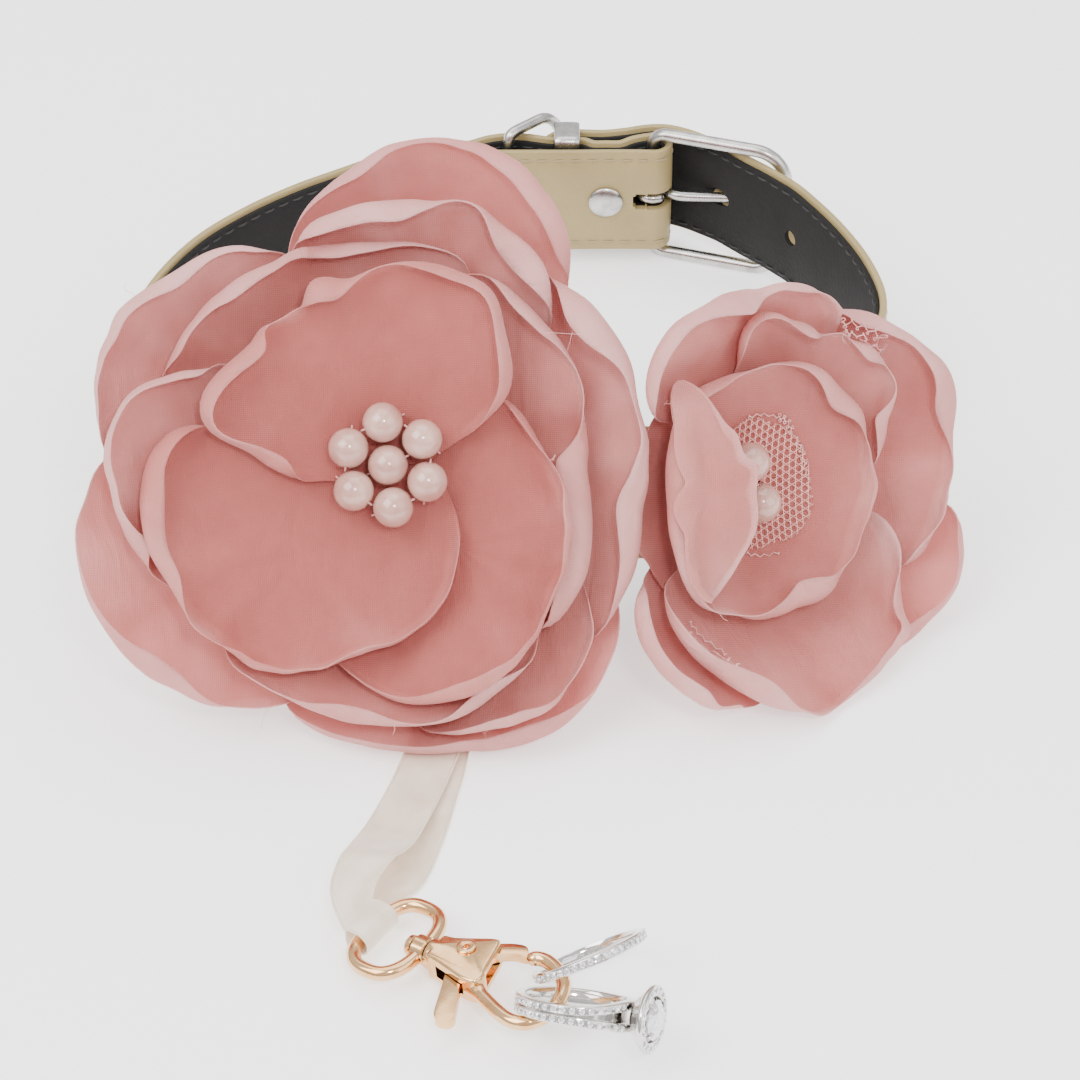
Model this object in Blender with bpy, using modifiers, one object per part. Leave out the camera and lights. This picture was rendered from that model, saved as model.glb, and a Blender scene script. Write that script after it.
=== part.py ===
# Ring-bearer dog collar: buckled leather-look strap, two fabric flowers with
# pearls, a ribbon loop and a swivel snap hook that carries two finger rings.
# Blender 4.5, metres, +Z up. The collar lies on the ground plane z = 0 with its
# flowers towards -Y. Dimensions below are in millimetres unless a name says so.

import bpy
import bmesh
import math
from mathutils import Matrix, Vector

MM = 0.001

# ---- driving dimensions (mm) ------------------------------------------------
ORIGIN_X, ORIGIN_Y = -5.8, -11.0      # plan point moved to the row's origin

STRAP_W = 25.4                        # one-inch strap
SHELL_T = 1.2                         # champagne ply
LINING_T = 0.9                        # black ply
PLY_GAP = 0.3
STRAP_Z = 16.6                        # strap centre height at the buckle
FLAP_Y = 99.3                         # mid-thickness of the folded-back end
HEEL = (24.4, 102.2)                  # heel bar of the buckle in plan
FAR = (52.55, 93.3)                   # far bar of the buckle in plan
FRAME_R = 1.4                         # buckle wire radius
FRAME_HALF_H = 15.0                   # buckle half height to wire centre
PRONG_R = 1.1
KEEPER_X, KEEPER_W, KEEPER_T = 5.8, 5.5, 1.0
DRING_BAR = (-7.0, 102.0)
DRING_R, DRING_HALF_H, DRING_DEPTH = 1.2, 14.6, 17.0
DRING_LEAN = 48.0                     # degrees from square to the strap
RIVETS_X = (14.2, -18.0)

BIG_C = (-27.74, -25.59, 42.8)        # middle of the large flower
BIG_AXIS = (0.044, -0.778, 0.627)
SMALL_C = (38.97, -15.31, 30.0)       # middle of the small flower
SMALL_TURN, SMALL_PITCH = 33.0, 40.0  # its axis: turned right, then up
PETAL_T = 0.7
FELT_T = 1.2
PETAL_PITCH = 1.3                     # spacing of the petal stack
BIG_CURVE, SMALL_CURVE = 0.0053, 0.0098
BOTTOM_CURVE, BEHIND_CURVE = 0.0062, 0.0072
PEARL_D = 7.4
PEARL_RING = 7.75                     # pearl spacing

HOOK_O = (-18.46, -110.82, 4.61)         # middle of the hook's collar
HOOK_HEADING, HOOK_LIFT = -34.6, 6.6
HOOK_WIRE_R = 1.3
EYE_A, EYE_SEMI_A, EYE_SEMI_B = -7.4, 5.6, 8.7
RING_IN, RING_OUT = 8.5, 10.2         # finger rings, radii

# petals: name, centre u v, semi-axes a b, turn in degrees; front to back
BIG_PETALS = [
    ("inner_top", -6.0, 18.2, 28.0, 19.5, 14),
    ("inner_left", -15.5, -14.8, 28.0, 23.0, 0),
    ("inner_right", 12.2, -15.5, 21.0, 28.0, 0),
    ("second_left", -26.5, -1.8, 25.0, 21.0, 0),
    ("second_lower", -1.5, -24.5, 30.0, 22.5, 0),
    ("right_inner", 15.0, 4.5, 21.5, 30.0, 0),
    ("third_top_left", -14.0, 17.2, 27.0, 22.0, 20),
    ("second_top", 7.6, 26.0, 23.5, 22.0, 0),
    ("lower_right", 16.7, -28.0, 20.0, 20.0, 0),
    ("right_outer", 20.3, 1.0, 27.0, 32.0, 0),
    ("outer_top_left", -27.8, 13.6, 25.5, 25.0, 0),
    ("outer_lower_left", -29.5, -17.0, 27.0, 26.5, 0),
    ("back_top", 8.0, 36.0, 25.0, 23.0, 0),
    ("outer_bottom", 11.0, -26.3, 29.5, 26.0, 0),    # curves forward more: BOTTOM_CURVE
]
SMALL_PETALS = [
    ("centre", 2.0, -1.0, 20.0, 23.0, 0),
    ("folded_left", -17.5, 2.0, 16.5, 21.0, 0),
    ("upper_right", 12.5, 15.5, 19.0, 18.0, 0),
    ("top", -3.0, 22.0, 20.0, 14.5, 0),
    ("bottom", 7.0, -22.0, 22.5, 18.5, 0),
    ("lower_left", -15.0, -3.0, 10.3, 19.0, 0),     # flatter: passes behind the large flower
    ("outer_right", 20.0, 6.0, 19.0, 22.5, 0),
    ("outer_lower_right", 20.5, -13.5, 18.0, 17.5, 0),
    ("outer_lower_left", -9.0, -27.0, 19.0, 15.0, 0),
]


# ---- scene set-up -------------------------------------------------------------
for ob in list(bpy.data.objects):
    bpy.data.objects.remove(ob, do_unlink=True)

PART = bpy.data.collections.new("ring_bearer_collar")
bpy.context.scene.collection.children.link(PART)
CUTS = bpy.data.collections.new("cutters")
bpy.context.scene.collection.children.link(CUTS)


def pt(x, y, z):
    """Design millimetres to metres in the row's frame."""
    return Vector(((x - ORIGIN_X) * MM, (y - ORIGIN_Y) * MM, z * MM))


def material(name, rgb, rough, metal=0.0, sheen=0.0):
    mat = bpy.data.materials.get(name)
    if mat is None:
        mat = bpy.data.materials.new(name)
        mat.use_nodes = True
        bsdf = mat.node_tree.nodes["Principled BSDF"]
        bsdf.inputs["Base Color"].default_value = (*rgb, 1.0)
        bsdf.inputs["Roughness"].default_value = rough
        bsdf.inputs["Metallic"].default_value = metal
        bsdf.inputs["Sheen Weight"].default_value = sheen
    return mat


M_SHELL = material("champagne_leather", (0.52, 0.46, 0.29), 0.5)
M_LINING = material("black_lining", (0.012, 0.011, 0.010), 0.75)
M_STEEL = material("silver_metal", (0.62, 0.61, 0.59), 0.3, 1.0)
M_PETAL = material("pink_chiffon", (0.60, 0.24, 0.22), 0.7, 0.0, 0.4)
M_FELT = material("pink_felt", (0.55, 0.30, 0.28), 0.95)
M_PEARL = material("pearl", (0.86, 0.76, 0.70), 0.25)
M_NET = material("pink_net", (0.80, 0.45, 0.42), 0.8)
M_RIBBON = material("cream_satin", (0.72, 0.66, 0.55), 0.35, 0.0, 0.3)
M_GOLD = material("gold_metal", (0.90, 0.58, 0.32), 0.18, 1.0)
M_RING = material("white_gold", (0.70, 0.68, 0.66), 0.15, 1.0)
M_STONE = material("clear_stone", (0.85, 0.88, 0.90), 0.02)


def place(name, mesh, mat, matrix=None, coll=None):
    ob = bpy.data.objects.new(name, mesh)
    (coll or PART).objects.link(ob)
    if matrix is not None:
        ob.matrix_world = matrix
    if mat is not None:
        mesh.materials.clear()
        mesh.materials.append(mat)
    return ob


def smooth(mesh, angle=35.0):
    mesh.shade_smooth()
    mesh.set_sharp_from_angle(angle=math.radians(angle))


def cutter(ob):
    for c in list(ob.users_collection):
        c.objects.unlink(ob)
    CUTS.objects.link(ob)
    ob.hide_render = True
    ob.display_type = "WIRE"
    return ob


def frame(origin, x_dir, y_dir):
    """Matrix with its origin in design mm and two given axes."""
    x = Vector(x_dir).normalized()
    z = x.cross(Vector(y_dir)).normalized()
    y = z.cross(x)
    m = Matrix((x, y, z)).transposed().to_4x4()
    m.translation = pt(*origin)
    return m


def catmull(points, steps, closed=False):
    """Catmull-Rom through tuples of any length."""
    n = len(points)
    out = []
    for i in range(n if closed else n - 1):
        if closed:
            q = [points[(i + k - 1) % n] for k in range(4)]
        else:
            q = [points[min(max(i + k - 1, 0), n - 1)] for k in range(4)]
        for s in range(steps):
            t = s / steps
            out.append(tuple(
                0.5 * (2 * b + (c - a) * t + (2 * a - 5 * b + 4 * c - d) * t * t
                       + (3 * b - a - 3 * c + d) * t ** 3)
                for a, b, c, d in zip(*q)))
    if not closed:
        out.append(tuple(points[-1]))
    return out


def strip_mesh(name, rows, across=1):
    """Open grid from rows of (left point, right point) in metres."""
    bm = bmesh.new()
    grid = []
    for left, right in rows:
        grid.append([bm.verts.new(left.lerp(right, j / across)) for j in range(across + 1)])
    for a, b in zip(grid, grid[1:]):
        for j in range(across):
            bm.faces.new((a[j], b[j], b[j + 1], a[j + 1]))
    mesh = bpy.data.meshes.new(name)
    bm.to_mesh(mesh)
    bm.free()
    return mesh


def solidify(ob, thickness, offset=0.0):
    mod = ob.modifiers.new("Solidify", "SOLIDIFY")
    mod.thickness = thickness * MM
    mod.offset = offset
    mod.use_even_offset = True
    return mod


def boolean(ob, other, op="DIFFERENCE"):
    mod = ob.modifiers.new("Boolean", "BOOLEAN")
    mod.operation = op
    mod.solver = "EXACT"
    mod.object = other
    return mod


def tube(name, pts, radius, mat, closed=False, res=2, matrix=None, coll=None, as_mesh=False):
    """POLY curve with a round bevel; pts in metres (or in matrix's space)."""
    cu = bpy.data.curves.new(name, "CURVE")
    cu.dimensions = "3D"
    sp = cu.splines.new("POLY")
    sp.points.add(len(pts) - 1)
    for p, q in zip(sp.points, pts):
        p.co = (*q, 1.0)
    sp.use_cyclic_u = closed
    cu.bevel_depth = radius * MM
    cu.bevel_resolution = res
    cu.resolution_u = 1
    cu.render_resolution_u = 0
    cu.use_fill_caps = not closed
    ob = bpy.data.objects.new(name, cu)
    (coll or PART).objects.link(ob)
    if matrix is not None:
        ob.matrix_world = matrix
    if not as_mesh:
        cu.materials.append(mat)
        return ob
    return curve_to_mesh(ob, mat, coll)


def curve_to_mesh(ob, mat, coll=None):
    dg = bpy.context.evaluated_depsgraph_get()
    dg.update()
    mesh = bpy.data.meshes.new_from_object(ob.evaluated_get(dg), depsgraph=dg)
    bm = bmesh.new()
    bm.from_mesh(mesh)
    bmesh.ops.remove_doubles(bm, verts=bm.verts, dist=0.00001)
    bmesh.ops.recalc_face_normals(bm, faces=bm.faces)
    bm.to_mesh(mesh)
    bm.free()
    name, mw, cu = ob.name, ob.matrix_world.copy(), ob.data
    bpy.data.objects.remove(ob, do_unlink=True)
    bpy.data.curves.remove(cu)
    mesh.name = name
    return place(name, mesh, mat, mw, coll)


def outline_plate(name, poly, half_t, mat, matrix, coll=None):
    """Flat outline (mm) extruded both ways, as a welded mesh."""
    cu = bpy.data.curves.new(name, "CURVE")
    cu.dimensions = "2D"
    cu.fill_mode = "BOTH"
    cu.extrude = half_t * MM
    cu.resolution_u = 1
    cu.render_resolution_u = 0
    sp = cu.splines.new("POLY")
    sp.points.add(len(poly) - 1)
    for p, q in zip(sp.points, poly):
        p.co = (q[0] * MM, q[1] * MM, 0.0, 1.0)
    sp.use_cyclic_u = True
    ob = bpy.data.objects.new(name, cu)
    (coll or PART).objects.link(ob)
    ob.matrix_world = matrix
    return curve_to_mesh(ob, mat, coll)


def turned(name, profile, steps, mat, matrix, coll=None):
    """Profile of (radius, height) mm, top to bottom down the outer side."""
    bm = bmesh.new()
    vs = [bm.verts.new((r * MM, 0.0, z * MM)) for r, z in profile]
    for a, b in zip(vs, vs[1:]):
        bm.edges.new((a, b))
    if profile[0][0] > 0 and profile[-1][0] > 0:
        bm.edges.new((vs[-1], vs[0]))
    mesh = bpy.data.meshes.new(name)
    bm.to_mesh(mesh)
    bm.free()
    ob = place(name, mesh, mat, matrix, coll)
    mod = ob.modifiers.new("Screw", "SCREW")
    mod.axis = "Z"
    mod.steps = steps
    mod.render_steps = steps
    mod.use_merge_vertices = True
    mod.merge_threshold = 0.00001
    mod.use_smooth_shade = True
    return ob


def apply_all(ob):
    """Replace an object's mesh by its evaluated one."""
    dg = bpy.context.evaluated_depsgraph_get()
    dg.update()
    mesh = bpy.data.meshes.new_from_object(ob.evaluated_get(dg), depsgraph=dg)
    bm = bmesh.new()
    bm.from_mesh(mesh)
    bmesh.ops.remove_doubles(bm, verts=bm.verts, dist=0.000002)
    bmesh.ops.dissolve_degenerate(bm, edges=bm.edges, dist=0.000002)
    bm.to_mesh(mesh)
    bm.free()
    ob.modifiers.clear()
    ob.data = mesh
    return ob


# ---- strap ---------------------------------------------------------------------
# Plan path of the strap's mid-thickness: x, y, height of the centre line, lean in
# degrees (0 = standing on edge, positive = rolled back), half width.
HW = STRAP_W / 2
flap = [(-20.5, FLAP_Y + 0.12), (-12.0, FLAP_Y), (-3.0, FLAP_Y), (6.0, FLAP_Y), (14.0, FLAP_Y + 0.12), (20.0, FLAP_Y + 0.12)]
fold = [(HEEL[0] + 2.9 * math.cos(math.radians(a)), HEEL[1] + 2.9 * math.sin(math.radians(a)))
        for a in range(-90, 91, 20)]
outer = [(20.4, 103.9), (17.4, 102.1), (14.2, 102.0), (11.5, 102.0), (9.4, 103.2), (7.6, 103.4), (5.8, 103.4), (3.8, 103.45),
         (1.5, 103.6), (-3.0, 104.7), (-7.0, 104.9), (-11.0, 104.0), (-15.0, 102.0), (-18.0, 101.9),
         (-23.5, 101.5), (-31.0, 98.3)]
STRAP = [(x, y, STRAP_Z, 0.0, HW) for x, y in flap + fold + outer]
STRAP += [
    (-42.3, 91.7, 16.3, 0, HW), (-52.0, 86.0, 15.8, 0, HW), (-62.0, 78.2, 15.3, 0, HW),
    (-71.0, 68.5, 14.8, 0, HW), (-78.2, 55.5, 14.3, 1, HW), (-82.6, 41.0, 14.3, 4, HW),
    (-84.2, 26.0, 15.4, 9, HW), (-81.5, 11.5, 18.6, 17, HW), (-73.0, 0.5, 23.0, 26, HW),
    (-60.5, -6.5, 27.0, 34, HW), (-45.0, -9.8, 29.4, 38, HW), (-28.65, -9.5, 29.8, 38.8, HW),
    (-12.0, -9.4, 28.6, 38.5, HW), (5.0, -10.2, 26.0, 37, HW), (18.0, -9.6, 23.4, 35, HW),
    (30.3, -5.2, 21.4, 32.6, HW), (42.5, 3.5, 20.0, 29, HW), (53.0, 13.5, 18.5, 19, HW),
    (62.0, 24.5, 17.2, 9, HW), (67.4, 35.5, 16.6, 3, HW), (69.0, 46.5, 16.5, 1, HW),
    (66.6, 59.0, 16.5, 0, HW), (61.6, 72.0, 16.5, 0, HW), (54.9, 84.0, 16.6, 0, HW),
    (51.2, 88.7, STRAP_Z, 0, HW), (47.8, 92.4, STRAP_Z, 0, HW), (44.7, 95.4, STRAP_Z, 0, HW),
    (42.0, 98.2, STRAP_Z, 0, HW), (39.0, 101.3, STRAP_Z, 0, HW), (35.6, 103.9, STRAP_Z, 0, HW),
    (31.6, 106.6, STRAP_Z, 0, HW), (27.5, 108.3, STRAP_Z, 0, HW), (23.5, 108.3, STRAP_Z, 0, HW),
    (18.5, 107.0, STRAP_Z, 0, HW), (14.0, 106.2, STRAP_Z, 0, HW), (10.0, 106.3, STRAP_Z, 0, HW),
    (5.8, 106.4, STRAP_Z, 0, HW), (3.6, 106.5, STRAP_Z, 0, HW * 0.97), (1.4, 106.8, STRAP_Z, 0, HW * 0.86),
    (-0.6, 107.2, STRAP_Z, 0, HW * 0.68), (-2.2, 107.6, STRAP_Z, 0, HW * 0.42),
]


def strap_rows(offset, edge_in):
    """Rows of edge points for a ply offset outward from the mid-thickness."""
    n_flap = len(flap) - 1
    rows = []
    pts = []
    for i in range(len(STRAP) - 1):
        q = [STRAP[min(max(i + k - 1, 0), len(STRAP) - 1)] for k in range(4)]
        steps = 1 if i < n_flap + len(fold) - 1 else (2 if i > len(flap + fold) else 1)
        for s in range(steps):
            t = s / steps
            pts.append(tuple(
                0.5 * (2 * b + (c - a) * t + (2 * a - 5 * b + 4 * c - d) * t * t
                       + (3 * b - a - 3 * c + d) * t ** 3)
                for a, b, c, d in zip(*q)))
    pts.append(STRAP[-1])
    for i, (x, y, z, lean, half) in enumerate(pts):
        a, b = pts[max(i - 1, 0)], pts[min(i + 1, len(pts) - 1)]
        tan = Vector((b[0] - a[0], b[1] - a[1], 0)).normalized()
        out_h = tan.cross(Vector((0, 0, 1)))
        r = math.radians(lean)
        out = out_h * math.cos(r) + Vector((0, 0, 1)) * math.sin(r)
        wid = Vector((0, 0, 1)) * math.cos(r) - out_h * math.sin(r)
        c = pt(x, y, z) + out * offset * MM
        h = (half - edge_in) * MM
        rows.append((c - wid * h, c + wid * h))
    return rows


shell = place("strap_shell", strip_mesh("strap_shell", strap_rows(SHELL_T / 2, 0.0)), M_SHELL)
solidify(shell, SHELL_T)
lining = place("strap_lining", strip_mesh("strap_lining", strap_rows(-PLY_GAP - LINING_T / 2, 1.1)[1:-1]), M_LINING)
solidify(lining, LINING_T)


def y_cyl(name, x, y0, y1, z, r, steps=16):
    """Cutter cylinder along Y."""
    bm = bmesh.new()
    bmesh.ops.create_cone(bm, cap_ends=True, segments=steps, radius1=r * MM, radius2=r * MM,
                          depth=abs(y1 - y0) * MM)
    mesh = bpy.data.meshes.new(name)
    bm.to_mesh(mesh)
    bm.free()
    m = Matrix.Rotation(math.radians(90), 4, "X")
    m.translation = pt(x, (y0 + y1) / 2, z)
    return cutter(place(name, mesh, None, m))


def box(name, lo, hi):
    bm = bmesh.new()
    bmesh.ops.create_cube(bm, size=1.0)
    a, b = pt(*lo), pt(*hi)
    bmesh.ops.scale(bm, vec=b - a, verts=bm.verts)
    bmesh.ops.translate(bm, vec=(a + b) / 2, verts=bm.verts)
    mesh = bpy.data.meshes.new(name)
    bm.to_mesh(mesh)
    bm.free()
    return cutter(place(name, mesh, None))


# prong path: round the heel bar, then through the strap to the far bar
arc = [(HEEL[0] + 2.8 * math.cos(math.radians(a)), HEEL[1] + 2.8 * math.sin(math.radians(a)))
       for a in range(-60, -341, -28)]
rod = [(27.6, 102.1), (28.6, 101.2), (30.5, 100.5), (34.0, 100.2), (38.0, 100.0), (41.0, 99.7),
       (44.5, 99.0), (48.5, 97.8), (FAR[0] + 0.9, FAR[1] + 2.85), (FAR[0] + 2.9, FAR[1] + 2.3)]
PRONG = [pt(x, y, STRAP_Z) for x, y in catmull(arc[:-1] + [arc[-1]] + rod, 2)]

slot_path = [pt(x, y, STRAP_Z) for x, y in catmull([(32.5, 100.2)] + rod[3:-2] + [(50.4, 97.1)], 2)]
prong_slot = cutter(tube("cut_prong_slot", slot_path, PRONG_R + 0.9, None, res=3, as_mesh=True))
fold_slot = box("cut_fold_slot", (22.6, 97.0, STRAP_Z - 2.0), (28.9, 106.6, STRAP_Z + 2.0))
eye_slot = box("cut_eye_slot", (20.1, 97.0, STRAP_Z - 1.9), (23.4, 106.0, STRAP_Z + 1.9))
rivet_cuts = [y_cyl(f"cut_rivet_{i}", x, 97.0, 104.0, STRAP_Z, 1.55) for i, x in enumerate(RIVETS_X)]


def normal_cyl(name, x, y, z, out, r):
    bm = bmesh.new()
    bmesh.ops.create_cone(bm, cap_ends=True, segments=16, radius1=r * MM, radius2=r * MM, depth=6 * MM)
    mesh = bpy.data.meshes.new(name)
    bm.to_mesh(mesh)
    bm.free()
    q = Vector(out).to_track_quat("Z", "Y").to_matrix().to_4x4()
    q.translation = pt(x, y, z)
    return cutter(place(name, mesh, None, q))


next_hole = normal_cyl("cut_next_hole", 55.0, 85.3, STRAP_Z, (0.86, 0.51, 0), 1.8)
tail_hole = normal_cyl("cut_tail_hole", 20.6, 107.9, STRAP_Z, (0.25, 0.97, 0), 1.8)
# the tail's hole over the fold must not reach the ply under it
tail_hole.scale = (1, 1, 0.55)
tail_hole.location = pt(20.4, 108.4, STRAP_Z)
for ply in (shell, lining):
    for c in [prong_slot, fold_slot, eye_slot] + rivet_cuts + [next_hole, tail_hole]:
        boolean(ply, c)
    apply_all(ply)


# ---- buckle, keeper, D-ring, rivets ---------------------------------------------
fx, fy = FAR[0] - HEEL[0], FAR[1] - HEEL[1]
flen = math.hypot(fx, fy)
BUCKLE = frame((HEEL[0], HEEL[1], STRAP_Z), (fx, fy, 0), (0, 0, 1))
loop = []
for cx, cy, r, a0 in ((3.0, FRAME_HALF_H - 3.0, 3.0, 180), (flen - 7.0, FRAME_HALF_H - 7.0, 7.0, 90)):
    for k in range(7 if r > 5 else 4):
        a = math.radians(a0 - k * 90 / (6 if r > 5 else 3))
        loop.append((cx + r * math.cos(a), cy + r * math.sin(a)))
loop = loop + [(x, -y) for x, y in reversed(loop)]
tube("buckle_frame", [Vector((x * MM, y * MM, 0)) for x, y in loop], FRAME_R, M_STEEL, closed=True,
     res=2, matrix=BUCKLE)
tube("buckle_prong", [p - pt(HEEL[0], HEEL[1], STRAP_Z) for p in PRONG], PRONG_R, M_STEEL,
     res=2, matrix=Matrix.Translation(pt(HEEL[0], HEEL[1], STRAP_Z)))

ky0, ky1 = 101.3, 108.5                  # leg centres inside and outside
kz = HW + 0.4 + KEEPER_T / 2
outline = []
for sx, sz, a0 in ((1, 1, 0), (-1, 1, 90), (-1, -1, 180), (1, -1, 270)):
    for k in range(4):
        a = math.radians(a0 + 30 * k)
        outline.append(((ky0 + ky1) / 2 + sx * ((ky1 - ky0) / 2 - 1.0) + 1.0 * math.cos(a),
                        STRAP_Z + sz * (kz - 1.0) + 1.0 * math.sin(a)))
outline.append(outline[0])
rows = [(pt(KEEPER_X + KEEPER_W / 2, y, z), pt(KEEPER_X - KEEPER_W / 2, y, z)) for y, z in outline]
kmesh = strip_mesh("keeper_loop", rows)
bm = bmesh.new()
bm.from_mesh(kmesh)
bmesh.ops.remove_doubles(bm, verts=bm.verts, dist=0.00001)
bmesh.ops.recalc_face_normals(bm, faces=bm.faces)
bm.to_mesh(kmesh)
bm.free()
solidify(place("keeper_loop", kmesh, M_STEEL), KEEPER_T)

lean = math.radians(DRING_LEAN)
DRING = frame((DRING_BAR[0], DRING_BAR[1], STRAP_Z), (math.sin(lean), math.cos(lean), 0), (0, 0, 1))
half = [(0.0, 0.0), (0.0, DRING_HALF_H * 0.55), (0.25, DRING_HALF_H - 1.4), (1.2, DRING_HALF_H - 0.35), (3.0, DRING_HALF_H),
        (6.0, DRING_HALF_H)]
for k in range(9):
    a = math.radians(90 - k * 11.25)
    half.append((9.0 + (DRING_DEPTH - 9.0) * math.cos(a), DRING_HALF_H * math.sin(a)))
dloop = half[:-1] + [(DRING_DEPTH, 0.0)] + [(x, -y) for x, y in reversed(half[1:-1])]
tube("d_ring", [Vector((x * MM, y * MM, 0)) for x, y in dloop], DRING_R, M_STEEL, closed=True,
     res=2, matrix=DRING)

Y_IN = Matrix.Rotation(math.radians(90), 4, "X")     # turned parts with their top towards -Y
for tag, x in zip(("buckle", "ring"), RIVETS_X):
    m = Y_IN.copy()
    m.translation = pt(x, 97.8, STRAP_Z)
    turned(f"rivet_cap_{tag}", [(0.0, 1.0), (1.6, 0.92), (2.9, 0.62), (3.7, 0.15), (3.7, 0.0), (0.0, 0.0)],
           20, M_STEEL, m)
    m = Y_IN.copy()
    m.translation = pt(x, 104.1, STRAP_Z)
    turned(f"rivet_stud_{tag}", [(0.0, 6.0), (1.2, 6.0), (1.2, 0.6), (2.9, 0.55), (2.9, 0.0), (0.0, 0.0)],
           16, M_STEEL, m)


# ---- flowers ---------------------------------------------------------------------
def flower_frame(centre, axis):
    w = Vector(axis).normalized()
    u = Vector((0, 0, 1)).cross(w).normalized()
    m = Matrix((u, w.cross(u), w)).transposed().to_4x4()
    m.translation = pt(*centre)
    return m


BIG = flower_frame(BIG_C, BIG_AXIS)
t, p = math.radians(SMALL_TURN), math.radians(SMALL_PITCH)
toward = Vector((0, -math.cos(p), math.sin(p)))
s_u = Vector((1, 0, 0)) * math.cos(t) - toward * math.sin(t)
s_w = Vector((1, 0, 0)) * math.sin(t) + toward * math.cos(t)
SMALL = Matrix((s_u, s_w.cross(s_u), s_w)).transposed().to_4x4()
SMALL.translation = pt(*SMALL_C)


def petal(name, matrix, cu, cv, a, b, turn, w0, curve, thick, mat, segs=12, rings=3):
    """Dished oval of cloth: its middle surface is w = w0 + curve * r^2."""
    bm = bmesh.new()
    tr = math.radians(turn)

    def vert(r, ang):
        x, y = a * r * math.cos(ang), b * r * math.sin(ang)
        u = cu + x * math.cos(tr) - y * math.sin(tr)
        v = cv + x * math.sin(tr) + y * math.cos(tr)
        return bm.verts.new((u * MM, v * MM, (w0 + curve * (u * u + v * v)) * MM))

    mid = vert(0, 0)
    grid = [[vert((k + 1) / rings, 2 * math.pi * s / segs) for s in range(segs)] for k in range(rings)]
    for s in range(segs):
        bm.faces.new((mid, grid[0][s], grid[0][(s + 1) % segs]))
        for k in range(rings - 1):
            bm.faces.new((grid[k][s], grid[k + 1][s], grid[k + 1][(s + 1) % segs], grid[k][(s + 1) % segs]))
    mesh = bpy.data.meshes.new(name)
    bm.to_mesh(mesh)
    bm.free()
    mesh.shade_smooth()
    ob = place(name, mesh, mat, matrix)
    solidify(ob, thick, -1.0)
    return ob


for k, (nm, cu, cv, a, b, turn) in enumerate(BIG_PETALS):
    curve = BOTTOM_CURVE if nm == "outer_bottom" else BIG_CURVE
    petal(f"large_petal_{nm}", BIG, cu, cv, a, b, turn, -PETAL_PITCH * k, curve, PETAL_T, M_PETAL)
for k, (nm, cu, cv, a, b, turn) in enumerate(SMALL_PETALS):
    curve = BEHIND_CURVE if nm == "lower_left" else SMALL_CURVE
    petal(f"small_petal_{nm}", SMALL, cu, cv, a, b, turn, -PETAL_PITCH * k, curve, PETAL_T, M_PETAL)
petal("small_net_circle", SMALL, 1.5, 0.0, 12.5, 12.5, 0, 0.7, SMALL_CURVE, 0.3, M_NET, 16, 2)


def felt(name, matrix, top, r):
    m = matrix @ Matrix.Translation((0, 0, (top - FELT_T) * MM))
    turned(name, [(0.0, FELT_T), (r, FELT_T), (r, 0.0), (0.0, 0.0)], 24, M_FELT, m)


felt("large_felt_back", BIG, -17.9, 17.0)
felt("small_felt_back", SMALL, -11.6, 15.0)

pearl_mesh = None


def pearl(name, matrix, u, v, w):
    global pearl_mesh
    if pearl_mesh is None:
        bm = bmesh.new()
        bmesh.ops.create_uvsphere(bm, u_segments=12, v_segments=8, radius=PEARL_D / 2 * MM)
        pearl_mesh = bpy.data.meshes.new("pearl")
        bm.to_mesh(pearl_mesh)
        bm.free()
        pearl_mesh.shade_smooth()
        pearl_mesh.materials.append(M_PEARL)
    ob = bpy.data.objects.new(name, pearl_mesh)
    PART.objects.link(ob)
    ob.matrix_world = matrix @ Matrix.Translation((u * MM, v * MM, w * MM))


w_big = 0.35 + PEARL_D / 2
pearl("large_pearl_middle", BIG, 0, 0, w_big)
for i in range(6):
    a = math.radians(95 - 60 * i)
    pearl(f"large_pearl_{i + 1}", BIG, PEARL_RING * math.cos(a), PEARL_RING * math.sin(a),
          w_big + BIG_CURVE * PEARL_RING ** 2 + 0.25)
w_small = 1.05 + PEARL_D / 2
for i, (u, v) in enumerate(((-3.2, 3.9), (-0.5, -3.6), (-8.1, -2.4))):
    pearl(f"small_pearl_{i + 1}", SMALL, u, v, w_small + SMALL_CURVE * (u * u + v * v) + (0.45 if i == 2 else 0.12))


# ---- swivel snap hook ---------------------------------------------------------------
hd, lf = math.radians(HOOK_HEADING), math.radians(HOOK_LIFT)
h_dir = Vector((math.cos(hd) * math.cos(lf), math.sin(hd) * math.cos(lf), math.sin(lf)))
w_dir = Vector((-math.sin(hd), math.cos(hd), 0))
HOOK = frame(HOOK_O, h_dir, w_dir)
ALONG = HOOK @ Matrix.Rotation(math.radians(90), 4, "Y")     # local +Z along the hook


def along(a):
    return HOOK @ Matrix.Translation((a * MM, 0, 0)) @ Matrix.Rotation(math.radians(90), 4, "Y")


def super_oval(ca, sa, sb, n, power=2.6):
    out = []
    for k in range(n):
        th = 2 * math.pi * k / n
        c, s = math.cos(th), math.sin(th)
        out.append((ca + sa * math.copysign(abs(c) ** (2 / power), c), sb * math.copysign(abs(s) ** (2 / power), s)))
    return out


eye = tube("swivel_eye", [Vector((a * MM, b * MM, 0)) for a, b in super_oval(EYE_A, EYE_SEMI_A, EYE_SEMI_B, 28)],
           HOOK_WIRE_R, M_GOLD, closed=True, res=2, matrix=HOOK, as_mesh=True)
boss = cutter(turned("cut_boss", [(0.0, 2.7), (2.5, 2.7), (2.5, 0.0), (0.0, 0.0)], 20, None, along(-3.2)))
bore = cutter(turned("cut_eye_bore", [(0.0, 5.0), (1.4, 5.0), (1.4, 0.0), (0.0, 0.0)], 20, None, along(-4.4)))
boolean(eye, boss, "UNION")
boolean(eye, bore)
apply_all(eye)
eye.data.materials.clear()
eye.data.materials.append(M_GOLD)

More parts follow.
